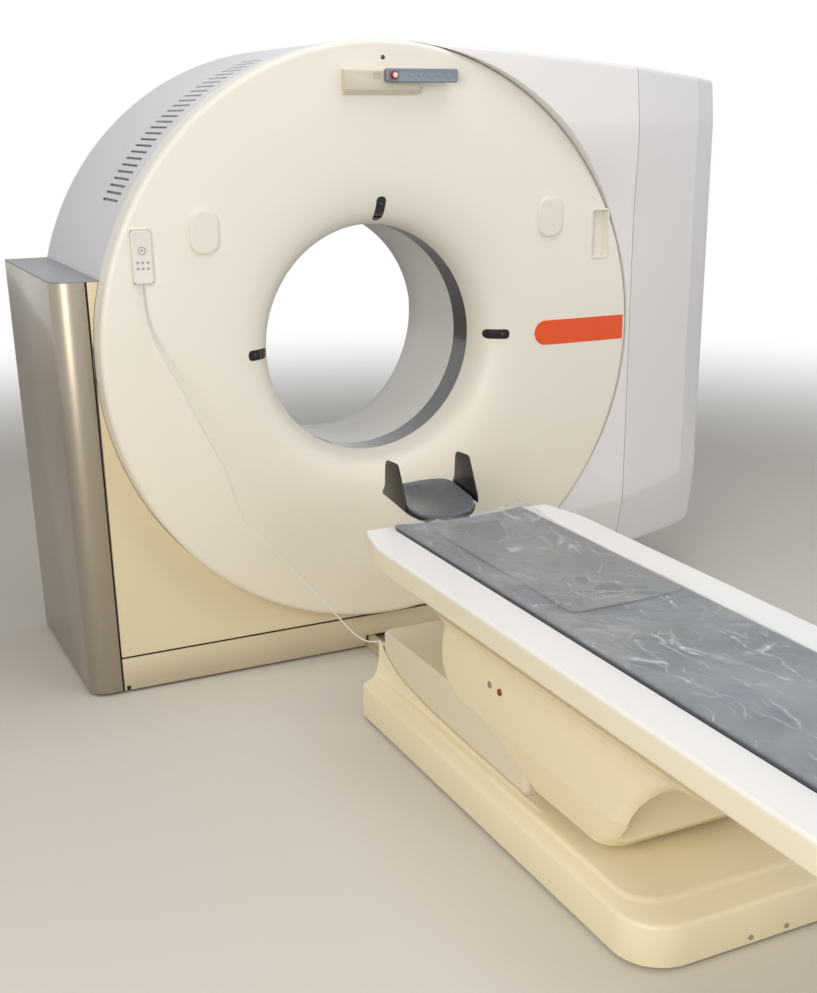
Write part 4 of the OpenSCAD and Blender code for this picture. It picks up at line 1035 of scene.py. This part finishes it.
def makeHandset(s):
    shell = plate("handset", pill(s["x"], s["z"], s["width"], s["height"], 0.010),
                  s["front"], s["back"], 0.003, 4)
    onFront(shell, s["front"])
    bpy.ops.mesh.inset(thickness=0.002)
    bpy.ops.transform.translate(value=(0, s["recess"], 0))
    shut()
    smooth(shell, 35)
    face, spot = s["front"] + s["recess"], (s["x"], s["z"] + s["dialUp"])
    dial = turned("dial", atFront(face, (0.0115, 0), (0.0112, -0.0008), (0.0100, -0.0014), (0.0088, -0.0009),
                                  (0.0085, 0)), 48, spot)
    keys = []
    for x in (-0.014, 0, 0.014):
        for z in (-0.014, -0.030):
            keys.append(turned("key", atFront(face, (0.0001, -0.0008), (0.0032, -0.0008), (0.004, -0.0002),
                                              (0.004, 0.0004)), 20, (s["x"] + x, s["z"] + z)))
    keys.append(dial)
    keys = joined("handsetKeys", keys)
    smooth(keys, 50)
    dot = turned("handsetDot", atFront(face, (0.0001, -0.0006), (0.0022, -0.0006), (0.0026, 0.0003)), 20, spot)
    smooth(dot, 50)
    clear()
    bpy.ops.mesh.primitive_cylinder_add(vertices=24, radius=0.0036, depth=0.014, location=s["neck"])
    neck = added("handsetRelief")
    openUp(neck, "VERT")
    pick(lambda m, w: m.z < 1.230, "verts")
    bpy.ops.transform.resize(value=(0.8, 0.8, 1), center_override=s["neck"])
    shut()
    smooth(neck, 50)
    dress(shell, handsetWhite, "handset_white", "gantry", "handset")
    dress(keys, keyGrey, "handset_white", "gantry")
    dress(dot, signalRed, "signal_red", "gantry")
    dress(neck, cordGrey, "cord_grey", "gantry")


makeHandset(handsetSizes)
print("docks and handset made")


def loopAt(w, y0, y1, r0, r1, steps=10):
    # plan of a rounded rectangle, with its own rounding at either end
    spots = []
    for cx, cy, r, start in ((w - r1, y1 - r1, r1, 0), (-w + r1, y1 - r1, r1, 90),
                             (-w + r0, y0 + r0, r0, 180), (w - r0, y0 + r0, r0, 270)):
        for i in range(steps + 1):
            a = math.radians(start + 90 * i / steps)
            spots.append((cx + r * math.cos(a), cy + r * math.sin(a)))
    return spots


def loft(name, levels):
    # levels of (z, plan): a closed body that runs through them
    plans = np.array([[(x, y, z) for x, y in plan] for z, plan in levels])
    count = plans.shape[1]

    def place(u, v):
        turn = around(u, count)
        level = np.round(v * (len(levels) - 1)).astype(int)
        spot = plans[level, turn]
        return spot[:, 0], spot[:, 1], spot[:, 2]
    piece = surface(name, count, len(levels) - 1, place, True)
    capped(piece)
    return piece


baseSizes = {"half": 0.290, "far": -2.050, "near": -0.616, "corner": 0.110, "foot": 0.008, "wall": 0.105,
             "edge": 0.004, "cut": ((-0.229, -1.463, 0.05), (0.229, -0.6225, 0.4)),
             "stripLong": 0.924, "stripWide": 0.0545, "stripFace": 0.9, "stripLip": 0.006, "stripThick": 0.003,
             "notches": 7, "notchX": 0.2505, "notchY": -1.433, "notchPitch": 0.119,
             "notchSize": (0.0035, 0.009)}
# height of the strips' inner edge at distances behind the gantry end
stripHeights = ([-0.924, -0.572, -0.443, -0.313, -0.175, -0.106, -0.044, -0.023, 0],
                [0.132, 0.138, 0.142, 0.147, 0.161, 0.174, 0.200, 0.211, 0.235])


def makeTub(s):
    # straight wall, rounded shoulder, sloping top and the raised plate in its middle
    def plan(inset, farInset):
        return loopAt(s["half"] - inset, s["far"] + farInset, s["near"], s["corner"] - farInset / 3, 0.006, 14)
    foot, wall, edge = s["foot"], s["wall"], s["edge"]
    levels = [(foot, plan(edge, edge)), (foot + edge, plan(0, 0)), (wall - edge, plan(0, 0))]
    for i in range(1, 7):
        a = math.radians(90 * i / 6)
        levels.append((wall - edge + 0.009 * math.sin(a) * (0.62 + 0.38 * i / 6),
                       plan(0.0035 * (1 - math.cos(a)) + 0.0015 * i / 6,
                            0.0035 * (1 - math.cos(a)) + 0.004 * i / 6)))
    for i in range(1, 11):
        t = i / 10
        levels.append((0.110 + 0.0125 * t ** 0.9, plan(0.005 + 0.026 * t, 0.0075 + 0.058 * t)))
    for i in range(1, 6):
        t = i / 5
        levels.append((0.1225 + 0.0075 * math.sin(t * math.pi / 2),
                       plan(0.031 + 0.010 * t, 0.0655 + 0.021 * t)))
    tub = loft("baseTub", levels)
    cutWith(tub, slab("cut", *s["cut"]))
    dress(tub, tubWarmLit, "tub_cream", "gantry", "base_cover", angle=28)


def makeStrips(s):
    # the concave strips beside the middle skirt, with the low end wall between them
    strips = []
    for side in (-1, 1):
        def place(u, v, side=side):
            y = -s["stripLong"] * v ** 1.25
            top = np.interp(y, *stripHeights)
            low = s["wall"] + 0.001
            t = np.clip(u / s["stripFace"], 0, 1)
            x = side * (s["half"] - 0.0015 - s["stripWide"] * (1 - (1 - t) ** 1.9))
            z = low + (top - low) * (1 - np.clip(1 - t ** 2, 0, 1) ** 0.75)
            flat = np.clip((u - s["stripFace"]) / (1 - s["stripFace"]), 0, 1)
            return x - side * s["stripLip"] * flat, s["near"] + y, z
        strip = surface("strip", 40, 120, place)
        openUp(strip, "EDGE")
        pick(lambda m, w: abs(m.x) < 0.2305 and abs(w.y) > 0.5, "edges")
        bpy.ops.mesh.extrude_region_move(TRANSFORM_OT_translate={"value": (0, 0, -0.03)})
        faceOut()
        shut()
        apply(strip, "SOLIDIFY", thickness=s["stripThick"], offset=-1)
        strips.append(strip)
    strips.append(slab("wall", (-0.2345, -0.6229, 0.06), (0.2345, -0.6161, 0.2255), 0.002))
    strips = joined("baseStrips", strips)
    cuts = []
    wide, long = s["notchSize"]
    for x in (-s["notchX"], s["notchX"]):
        for y in (s["notchY"] + i * s["notchPitch"] for i in range(s["notches"])):
            cuts.append(slab("cut", (x - wide, y - long, 0.09), (x + wide, y + long, 0.3)))
    cutWith(strips, joined("cut", cuts))
    dress(strips, tubWarmLit, "tub_cream", "gantry", "base_cover", angle=30)


makeTub(baseSizes)
makeStrips(baseSizes)

skirtSizes = {"half": 0.226, "far": -1.460, "near": -0.625, "low": 0.020, "top": 0.270, "round": 0.009,
              "wall": 0.004, "roof": 0.008, "way": ((-0.193, -1.423, 0.200), (0.193, -1.101, 0.300))}


def makeSkirts(s):
    def plan(inset):
        return loopAt(s["half"] - inset, s["far"] + inset, s["near"] - inset, 0.014, 0.022, 10)
    edge, wall = s["round"], s["wall"]
    levels = [(s["low"], plan(0)), (0.10, plan(0)), (s["top"] - edge, plan(0))]
    for i in range(1, 9):
        a = math.radians(90 * i / 8)
        levels.append((s["top"] - edge + edge * math.sin(a), plan(edge * (1 - math.cos(a)))))
    skirt = loft("liftSkirt", levels)
    # hollow, with a way through its top for the inner skirt
    cutWith(skirt, slab("cut", (wall - s["half"], s["far"] + wall, s["low"] - 0.010),
                        (s["half"] - wall, s["near"] - wall, s["top"] - s["roof"])))
    cutWith(skirt, slab("cut", *s["way"]))
    dress(skirt, skirtWarmLit, "skirt_greige", "skirt", "lift_skirt", angle=30)
    inner = softened("innerSkirt", "inner_skirt", 0.001)
    dress(inner, skirtWarmLit, "skirt_greige", "deck", "inner_skirt")


makeSkirts(skirtSizes)
print("base and skirts made")

# saddle that hangs from the deck
saddleLevels = [(0.165, 0.224, -1.806, -1.452), (0.200, 0.232, -1.842, -1.392), (0.250, 0.240, -1.884, -1.230),
                (0.264, 0.242, -1.894, -1.190), (0.268, 0.250, -1.900, -1.120), (0.292, 0.250, -1.912, -1.046),
                (0.330, 0.250, -1.938, -1.018), (0.369, 0.250, -1.976, -1.014), (0.400, 0.250, -2.014, -1.020),
                (0.434, 0.255, -2.070, -1.040), (0.460, 0.266, -2.132, -1.062), (0.482, 0.284, -2.200, -1.080),
                (0.4997, 0.300, -2.250, -1.090)]

saddleSizes = {"rows": 110, "ledge": (0.2645, 0.2675), "crisp": (0.255, 0.275), "wall": 0.021, "farWall": 0.04,
               "hollowNear": -1.828}


def makeSaddle(rows, s):
    # rows of (z, half width, far y, near y)
    rows = np.array(rows)
    zs = np.unique(np.concatenate([np.linspace(rows[0, 0], rows[-1, 0], s["rows"]), s["ledge"]]))

    def curve(column):
        # soft curve through the rows
        fine = np.interp(zs, rows[:, 0], rows[:, column])
        kernel = np.array([1, 3, 5, 3, 1]) / 13
        padded = np.concatenate([np.full(2, fine[0]), fine, np.full(2, fine[-1])])
        soft = np.convolve(padded, kernel, "valid")
        return np.where((zs > s["crisp"][0]) & (zs < s["crisp"][1]), fine, soft)
    half, far, near = curve(1), curve(2), curve(3)
    levels = [(float(z), loopAt(float(h), float(a), float(b), 0.055, 0.060, 12))
              for z, h, a, b in zip(zs, half, far, near)]
    saddle = loft("saddle", levels)
    hollow = [(float(z) + (-0.002 if i == 0 else 0.001 if i == len(zs) - 1 else 0),
               loopAt(float(h) - s["wall"], float(a) - s["farWall"], s["hollowNear"], 0.03, 0.004, 6))
              for i, (z, h, a) in enumerate(zip(zs, half, far))]
    cutWith(saddle, loft("cut", hollow))
    cutWith(saddle, slab("cut", (-0.232, -1.472, 0.1), (0.232, -1.0, 0.284)))
    dress(saddle, saddleWarmLit, "deck_white", "deck", "saddle_cover", angle=22)


makeSaddle(saddleLevels, saddleSizes)

buttonSizes = {"z": 0.373, "grey": -1.322, "red": -1.372, "face": -0.250, "radius": 0.009}


def makeButtons(s):
    def cap(name, y, proud, radius):
        clear()
        bpy.ops.mesh.primitive_cylinder_add(vertices=40, radius=radius, depth=0.012,
                                            rotation=(0, math.pi / 2, 0),
                                            location=(s["face"] - proud + 0.006, y, s["z"]))
        piece = added(name)
        openUp(piece, "EDGE")
        pick(lambda m, w: m.x < s["face"] - proud + 0.0001, "edges")
        bpy.ops.mesh.bevel(offset=0.0018, segments=4, affect="EDGES")
        shut()
        smooth(piece, 40)
        return piece
    release = cap("releaseButton", s["grey"], 0.003, s["radius"])
    dress(release, releaseGrey, "key_grey", "release_key", "release_button")
    stop = cap("tableStop", s["red"], 0.004, s["radius"])
    dress(stop, stopRed, "signal_red", "table_stop_key", "table_stop_button")


makeButtons(buttonSizes)
print("saddle made")

# deck
deckSizes = {"half": 0.322, "top": 0.590, "near": -0.655, "far": -2.955, "channel": 0.212,
             "floor": 0.538, "taper": 0.175, "narrow": 0.038, "roundNear": 0.022, "roundFar": 0.015,
             "riseLong": 0.070, "rise": 0.048, "lip": 0.003, "shoulder": 0.009, "sideTop": 0.548,
             "sideLow": 0.534, "sideRound": 0.012,
             "under": [(0.280, 0.5115), (0.256, 0.5015), (0.248, 0.500), (0.20, 0.500), (0.0, 0.500)],
             "nearRows": [0, 0.0015, 0.004, 0.008, 0.014, 0.022, 0.035, 0.055, 0.08, 0.11, 0.14, 0.175],
             "farRows": [0.03, 0.015, 0.006, 0.002, 0]}


def makeDeck(s):
    # right half of the section from the channel's edge outwards, corners rounded
    def corner(cx, cz, r, a0, a1, steps):
        return [(cx + r * math.cos(math.radians(a0 + (a1 - a0) * i / steps)),
                 cz + r * math.sin(math.radians(a0 + (a1 - a0) * i / steps))) for i in range(steps + 1)]
    half, top, lip, shoulder = s["half"], s["top"], s["lip"], s["shoulder"]
    right = [(0.0, s["floor"]), (0.205, s["floor"]), (s["channel"], s["floor"]), (s["channel"], top - lip)]
    right += corner(s["channel"] + lip, top - lip, lip, 180, 90, 4)
    right += [(0.26, top)]
    right += corner(half - shoulder, top - shoulder, shoulder, 90, 0, 8)
    right += [(half, s["sideTop"]), (half, s["sideLow"])]
    right += corner(half - s["sideRound"], s["sideLow"], s["sideRound"], 0, -60, 6)
    right += s["under"]
    section = np.array(right + [(-x, z) for x, z in reversed(right[1:-1])])
    count = len(section)
    farRows = [s["far"] + e for e in s["farRows"]]
    ys = np.array([s["near"] - e for e in s["nearRows"]]
                  + list(np.linspace(s["near"] - 0.25, farRows[0], 20)) + farRows[1:])

    def place(u, v):
        turn = around(u, count)
        row = np.round(v * (len(ys) - 1)).astype(int)
        y = ys[row]
        x, z = section[turn, 0], section[turn, 1]
        near = np.clip((s["near"] - y) / s["taper"], 0, 1)
        roundEnd = rounding(s["near"] - y, s["roundNear"])
        roundFar = rounding(y - s["far"], s["roundFar"])
        reach = s["half"] - s["narrow"] * (1 - near) ** 1.3 - roundEnd - roundFar
        outer = np.abs(x) > s["channel"] + 0.0005
        share = (np.abs(x) - s["channel"]) / (s["half"] - s["channel"])
        x = np.where(outer, np.sign(x) * (s["channel"] + share * (reach - s["channel"])), x)
        # underside rises towards the gantry end
        lift = np.clip(1 - (s["near"] - y) / s["riseLong"], 0, 1) * s["rise"]
        z = np.where(z < 0.535, np.minimum(z + lift * np.clip((0.536 - z) / 0.036, 0, 1), 0.5365), z)
        z = np.where(z > s["top"] - 0.02, z - np.clip(roundEnd, 0, 0.01) * 0.5, z)
        return x, y, z
    deck = surface("tableDeck", count, len(ys) - 1, place, True)
    capped(deck)
    dress(deck, deckWhite, "deck_white", "deck", "table_deck", angle=32)


makeDeck(deckSizes)
print("deck made")

# bed: mattress, overlay pad and film
bedSizes = {"half": 0.204, "far": -2.939, "near": -0.669, "low": 0.5623, "top": 0.5883, "dish": 0.010}


def bedTop(x):
    return bedSizes["top"] + bedSizes["dish"] * (x / 0.2) ** 2


def ripple(x, y, size, turn, seed):
    # one family of long soft folds
    a = x * math.cos(turn) + y * math.sin(turn)
    b = -x * math.sin(turn) + y * math.cos(turn)
    return np.sin(a / size + 1.7 * np.sin(b / size * 0.23 + seed) + seed * 2.1)


def makeMattress(s):
    def place(u, v):
        # v runs from the far end to the near end
        y = s["far"] + (s["near"] - s["far"]) * v
        end = np.minimum(v, 1 - v) * (s["near"] - s["far"])
        pull = rounding(end, 0.012)
        share, top = onSection(u)
        x = share * (s["half"] - pull * 0.5)
        edge = rounding(s["half"] - np.abs(x), 0.006)
        zTop = bedTop(x) - edge - pull * 0.9
        # soft folds that die out towards the edges
        calm = np.clip(end / 0.05, 0, 1) * np.clip((s["half"] - np.abs(x)) / 0.03, 0, 1)
        zTop = zTop + 0.0012 * ripple(x, y, 0.06, 0.9, 1.0) * calm
        zLow = s["low"] + 0.0002 + edge * 0.4 + pull * 0.3
        return x, y, np.where(top, zTop, zLow)
    mattress = surface("mattress", 96, 260, place, True)
    capped(mattress)
    dress(mattress, bedFabric, "bed_fabric", "cradle", "mattress", angle=60)


makeMattress(bedSizes)

overlaySizes = {"x0": -0.130, "x1": 0.190, "y0": -1.490, "y1": -0.760, "corner": 0.024, "thick": 0.0042}


def makeOverlay(s):
    plan = np.array(pill((s["x0"] + s["x1"]) / 2, (s["y0"] + s["y1"]) / 2, s["x1"] - s["x0"],
                         s["y1"] - s["y0"], s["corner"], 8))
    middle = plan.mean(axis=0)
    count = len(plan)

    def place(u, v):
        turn = around(u, count)
        top = v < 0.5
        reach = np.where(top, np.clip(v / 0.48, 0, 1), np.clip((1 - v) / 0.48, 0, 1))
        reach = 1 - (1 - reach) ** 1.6
        x = middle[0] + (plan[turn, 0] - middle[0]) * reach
        y = middle[1] + (plan[turn, 1] - middle[1]) * reach
        rim = np.clip((reach - 0.985) / 0.015, 0, 1) ** 2
        high = bedTop(x) + 0.0003 + s["thick"] * (1 - rim * 0.7)
        low = bedTop(x) + 0.0004
        return x, y, np.where(top, high, low)
    pad = surface("overlayPad", count, 48, place, True)
    mend(pad)
    dress(pad, overlayGrey, "overlay_grey", "cradle", "overlay_pad", angle=60)


makeOverlay(overlaySizes)

filmSizes = {"half": 0.2025, "far": -2.925, "near": -0.671, "lift": 0.0052, "drop": 0.012,
             "fold": 0.0040, "dish": 0.0052, "crease": 0.0026}
# loose bulges of the film: middle x and y, width in x and y, height
filmBulges = ((0.150, -0.775, 0.050, 0.075, 0.036), (0.120, -0.95, 0.060, 0.110, 0.016),
              (-0.150, -0.720, 0.040, 0.035, 0.012), (0.0, -1.50, 0.09, 0.06, 0.007),
              (0.05, -0.700, 0.060, 0.028, 0.016))


def crumple(x, y, size, seed):
    # sheet pressed into dished patches that meet in sharp ridges; gives the height and the distance to a ridge
    draw = np.random.RandomState(seed)
    jitter = draw.rand(64, 64, 2)
    level = draw.rand(64, 64)
    column, row = np.floor(x / size).astype(int), np.floor(y / size).astype(int)
    first = np.full(x.shape, 9.0)
    second = np.full(x.shape, 9.0)
    high = np.zeros(x.shape)
    for i in (-1, 0, 1):
        for j in (-1, 0, 1):
            a, b = (column + i) % 64, (row + j) % 64
            far = np.hypot(x / size - column - i - jitter[a, b, 0], y / size - row - j - jitter[a, b, 1])
            nearer = far < first
            second = np.where(nearer, first, np.minimum(second, far))
            high = np.where(nearer, level[a, b], high)
            first = np.where(nearer, far, first)
    return first ** 2, (second - first) * size, high


def makeFilm(s):
    def place(u, v):
        x = s["half"] * (2 * u - 1)
        y = s["far"] + (s["near"] - s["far"]) * v
        calm = np.clip(np.minimum(1 - np.abs(2 * u - 1), 4 * np.minimum(v, 1 - v)) / 0.07, 0, 1)
        bend = 0.030 * np.sin(y * 9.0 + 1.0) + 0.012 * np.sin(x * 31.0 + y * 17.0)
        a = x * 0.80 + y * 0.60 + bend
        b = (-x * 0.60 + y * 0.80) * 0.42 + bend
        dish, ridge, part = crumple(a, b, 0.060, 7)
        thin, bit = crumple(a * 1.1 + 0.3, b * 1.7, 0.034, 11)[1:]
        loose = easing(0.5 + 0.55 * np.sin(y * 4.3 + 2.0) + 0.35 * np.sin(x * 11.0 + y * 3.0))
        fold = s["fold"] * np.clip(1 - ridge / 0.012, 0, 1) ** 1.3 * (0.35 + part) * (0.35 + 0.65 * loose)
        fold += s["dish"] * np.clip(dish, 0, 0.8) * loose
        fold += s["crease"] * np.clip(1 - thin / 0.008, 0, 1) * bit * loose
        for middleX, middleY, wideX, wideY, rise in filmBulges:
            bump = rise * np.exp(-((x - middleX) / wideX) ** 2 - ((y - middleY) / wideY) ** 2)
            fold += bump * (1 + 0.5 * dish - 0.8 * np.clip(1 - ridge / 0.02, 0, 1) * 0.3)
        side = np.clip((np.abs(x) - 0.190) / 0.0125, 0, 1) ** 2
        return x, y, bedTop(x) + s["lift"] + fold * calm - side * s["drop"]
    film = surface("coverFilm", 128, 740, place)
    dress(film, filmClear, "film_clear", "cradle", "cover_film", angle=70)


makeFilm(filmSizes)
print("bed made")

# head holder
headSizes = {"far": -0.610, "near": -0.320, "fall": 0.12, "low": 0.577, "dish": 0.255, "half": 0.116,
             "padHalf": 0.110, "round": -0.415, "reach": 0.096, "turn": -0.540, "tail": 0.078,
             "wing": 0.1125, "wingThick": 0.0055, "trayDepth": (0.014, 0.0225), "padDepth": (0.002, 0.0137),
             "tongue": ((-0.058, -0.743, 0.5508), (0.058, -0.580, 0.5580)), "ribs": (-0.044, 0, 0.044),
             "ribHalf": 0.004, "ribLow": 0.554, "ribFar": -0.607, "ribNear": -0.583}
# outline of a side wing as (y, z)
headWing = [(-0.400, 0.609), (-0.4195, 0.640), (-0.4255, 0.700), (-0.429, 0.711), (-0.436, 0.7175),
            (-0.446, 0.720), (-0.500, 0.7218), (-0.509, 0.7205), (-0.515, 0.715), (-0.541, 0.665),
            (-0.566, 0.618), (-0.569, 0.592)]


def headZ(y):
    return headSizes["low"] + (y - headSizes["far"]) * headSizes["fall"]


def headDish(x, out):
    return headSizes["dish"] - np.sqrt(np.clip((headSizes["dish"] + out) ** 2 - x ** 2, 0, None))


def headWide(y):
    # both ends are round in plan
    past = np.clip(y - headSizes["round"], 0, None) / headSizes["reach"]
    short = np.clip(headSizes["turn"] - y, 0, None) / headSizes["tail"]
    return np.sqrt(np.clip(1 - past ** 2 - short ** 2, 0.02, 1))


def makeHead(s):
    def tray(u, v):
        y = s["far"] + (s["near"] - 0.004 - s["far"]) * v
        share, top = onSection(u)
        x = share * s["half"] * headWide(y)
        z = headZ(y) + headDish(x, np.where(top, *s["trayDepth"]))
        return x, y, z
    shell = surface("headShell", 60, 40, tray, True)
    capped(shell)
    wings = []
    for side in (-1, 1):
        clear()
        bpy.ops.mesh.primitive_circle_add(vertices=len(headWing), radius=1, fill_type="NGON")
        wing = added("wing")
        for point, (y, z) in zip(wing.data.vertices, headWing):
            point.co = (side * s["wing"], y, z)
        openUp(wing)
        allIn()
        bpy.ops.mesh.extrude_region_move(TRANSFORM_OT_translate={"value": (side * s["wingThick"], 0, 0)})
        faceOut()
        shut()
        softEdges(wing, 0.002, 3, 30)
        wings.append(wing)
    tongue = slab("tongue", *s["tongue"], 0.001)
    ribTop = headZ(s["ribFar"]) - 0.0145
    ribs = [slab("rib", (x - s["ribHalf"], s["ribFar"], s["ribLow"]),
                 (x + s["ribHalf"], s["ribNear"], ribTop)) for x in s["ribs"]]
    holder = joined("headHolder", [shell, tongue] + wings + ribs)
    dress(holder, carbonBlack, "carbon_black", "cradle", "head_holder", angle=35)

    def pad(u, v):
        y = s["far"] + 0.008 + (s["near"] - s["far"] - 0.008) * v
        end = np.minimum(v, 1 - v) * 0.28
        pull = rounding(end, 0.008)
        share, top = onSection(u)
        half = s["padHalf"] * headWide(y)
        x = share * (half - pull * 0.3)
        edge = rounding(half - np.abs(x), 0.006)
        upper, under = s["padDepth"]
        z = headZ(y) + headDish(x, np.where(top, upper + edge * 0.7 + pull * 0.6, under - edge * 0.2))
        z = z + np.where(top, 0.0012 * ripple(x, y, 0.030, 0.6, 1.3) * np.clip(end / 0.03, 0, 1), 0)
        return x, y, z
    cushion = surface("headPad", 120, 90, pad, True)
    capped(cushion)
    dress(cushion, padGrey, "pad_grey", "cradle", "head_pad", angle=60)


makeHead(headSizes)
print("head holder made")

# paints for the CAD solids that stay
kept = {"gantry_base": framePaint, "cover_frame": framePaint, "stator_frame": framePaint,
        "bearing_outer": bearingSteel, "drive_coils": copperCoils, "power_unit": machineGrey,
        "bearing_inner": bearingSteel, "rotor_drum": framePaint, "drive_magnets": magnetSteel,
        "slip_ring": slipBrass, "brush_block": blackPlastic, "xray_tube": aluHousing, "collimator": aluDark,
        "detector_arc": machineGrey, "hv_generator": machineGrey, "cooling_unit": aluDark,
        "floor_duct": kickWarmLit, "table_frame": framePaint, "cover_screws": screwSteel,
        "lift_mast": bearingSteel, "lift_screw": bearingSteel, "cable_gland": blackPlastic,
        "lift_carriage": framePaint, "cradle_rails": aluHousing, "switch_box": blackPlastic,
        "cradle": cradleCarbon}
for node, paint in kept.items():
    for slot in cadNodes[node].material_slots:
        slot.material = paint
print("solids painted:", len(kept))

# floor and light
stageSizes = {"floor": rgb(214, 209, 200), "key": 118, "fill": 36, "top": 66, "near": 2.8, "gone": 7.0}


def addStage(s):
    clear()
    bpy.ops.mesh.primitive_plane_add(size=30, location=(0, -1, -0.0005))
    floor = added("floor")
    paint = Paint("floor", Roughness=0.85)
    paint.set(Base_Color=paint.mix(paint.noise(3.0, 3.0) * 0.06, s["floor"], deeper(s["floor"], 0.8)))
    # far from the object the floor fades into the white background
    away = paint.add("ShaderNodeVectorMath", {"operation": "LENGTH"}, {0: paint.spot}, 1)
    fade = paint.add("ShaderNodeMapRange", {"interpolation_type": "SMOOTHSTEP"},
                     {0: away, 1: s["near"], 2: s["gone"]})
    seen = paint.add("ShaderNodeLightPath")
    glow = paint.add("ShaderNodeEmission", {}, {0: (1, 1, 1, 1), 1: 1.0})
    both = paint.add("ShaderNodeMixShader", {}, {0: fade * seen, 2: glow})
    paint.tree.links.new(paint.shader.outputs[0], both.socket.node.inputs[1])
    paint.tree.links.new(both.socket, paint.out.inputs[0])
    floor.data.materials.append(paint.material)
    for name, place, aim, size, power, shade in (
            ("key", (-3.3, -4.0, 2.4), (0, -0.5, 0.9), 2.4, s["key"], (1.0, 0.955, 0.88)),
            ("fill", (3.6, -3.4, 2.4), (0.2, -0.6, 0.9), 3.0, s["fill"], (0.95, 0.965, 1.0)),
            ("top", (0.4, -1.2, 4.4), (0, -1.0, 0.5), 3.2, s["top"], (0.985, 0.99, 1.0))):
        clear()
        bpy.ops.object.light_add(type="AREA", location=place)
        lamp = bpy.context.object
        lamp.name = name
        lamp.data.size = size
        lamp.data.energy = power
        lamp.data.color = shade
        lamp.rotation_euler = (Vector(aim) - Vector(place)).to_track_quat("-Z", "Y").to_euler()
    world = bpy.data.worlds.new("studio")
    bpy.context.scene.world = world
    world.use_nodes = True
    tree = world.node_tree
    plain = tree.nodes["Background"]
    plain.inputs[0].default_value = (0.93, 0.94, 0.97, 1)
    plain.inputs[1].default_value = 0.34
    bright = tree.nodes.new("ShaderNodeBackground")
    bright.inputs[0].default_value = (1, 1, 1, 1)
    bright.inputs[1].default_value = 1.0
    # seen directly, in a reflection or through the film the background is white
    rays = tree.nodes.new("ShaderNodeLightPath")
    seen = rays.outputs["Is Camera Ray"]
    for kind in ("Is Glossy Ray", "Is Transmission Ray"):
        either = tree.nodes.new("ShaderNodeMath")
        either.operation = "MAXIMUM"
        tree.links.new(seen, either.inputs[0])
        tree.links.new(rays.outputs[kind], either.inputs[1])
        seen = either.outputs[0]
    blend = tree.nodes.new("ShaderNodeMixShader")
    for i, socket in enumerate((seen, plain.outputs[0], bright.outputs[0])):
        tree.links.new(socket, blend.inputs[i])
    tree.links.new(blend.outputs[0], tree.nodes["World Output"].inputs[0])


addStage(stageSizes)
scene = bpy.context.scene
scene.view_settings.view_transform = "Standard"
print("stage lit")

clear()
bpy.context.view_layer.update()
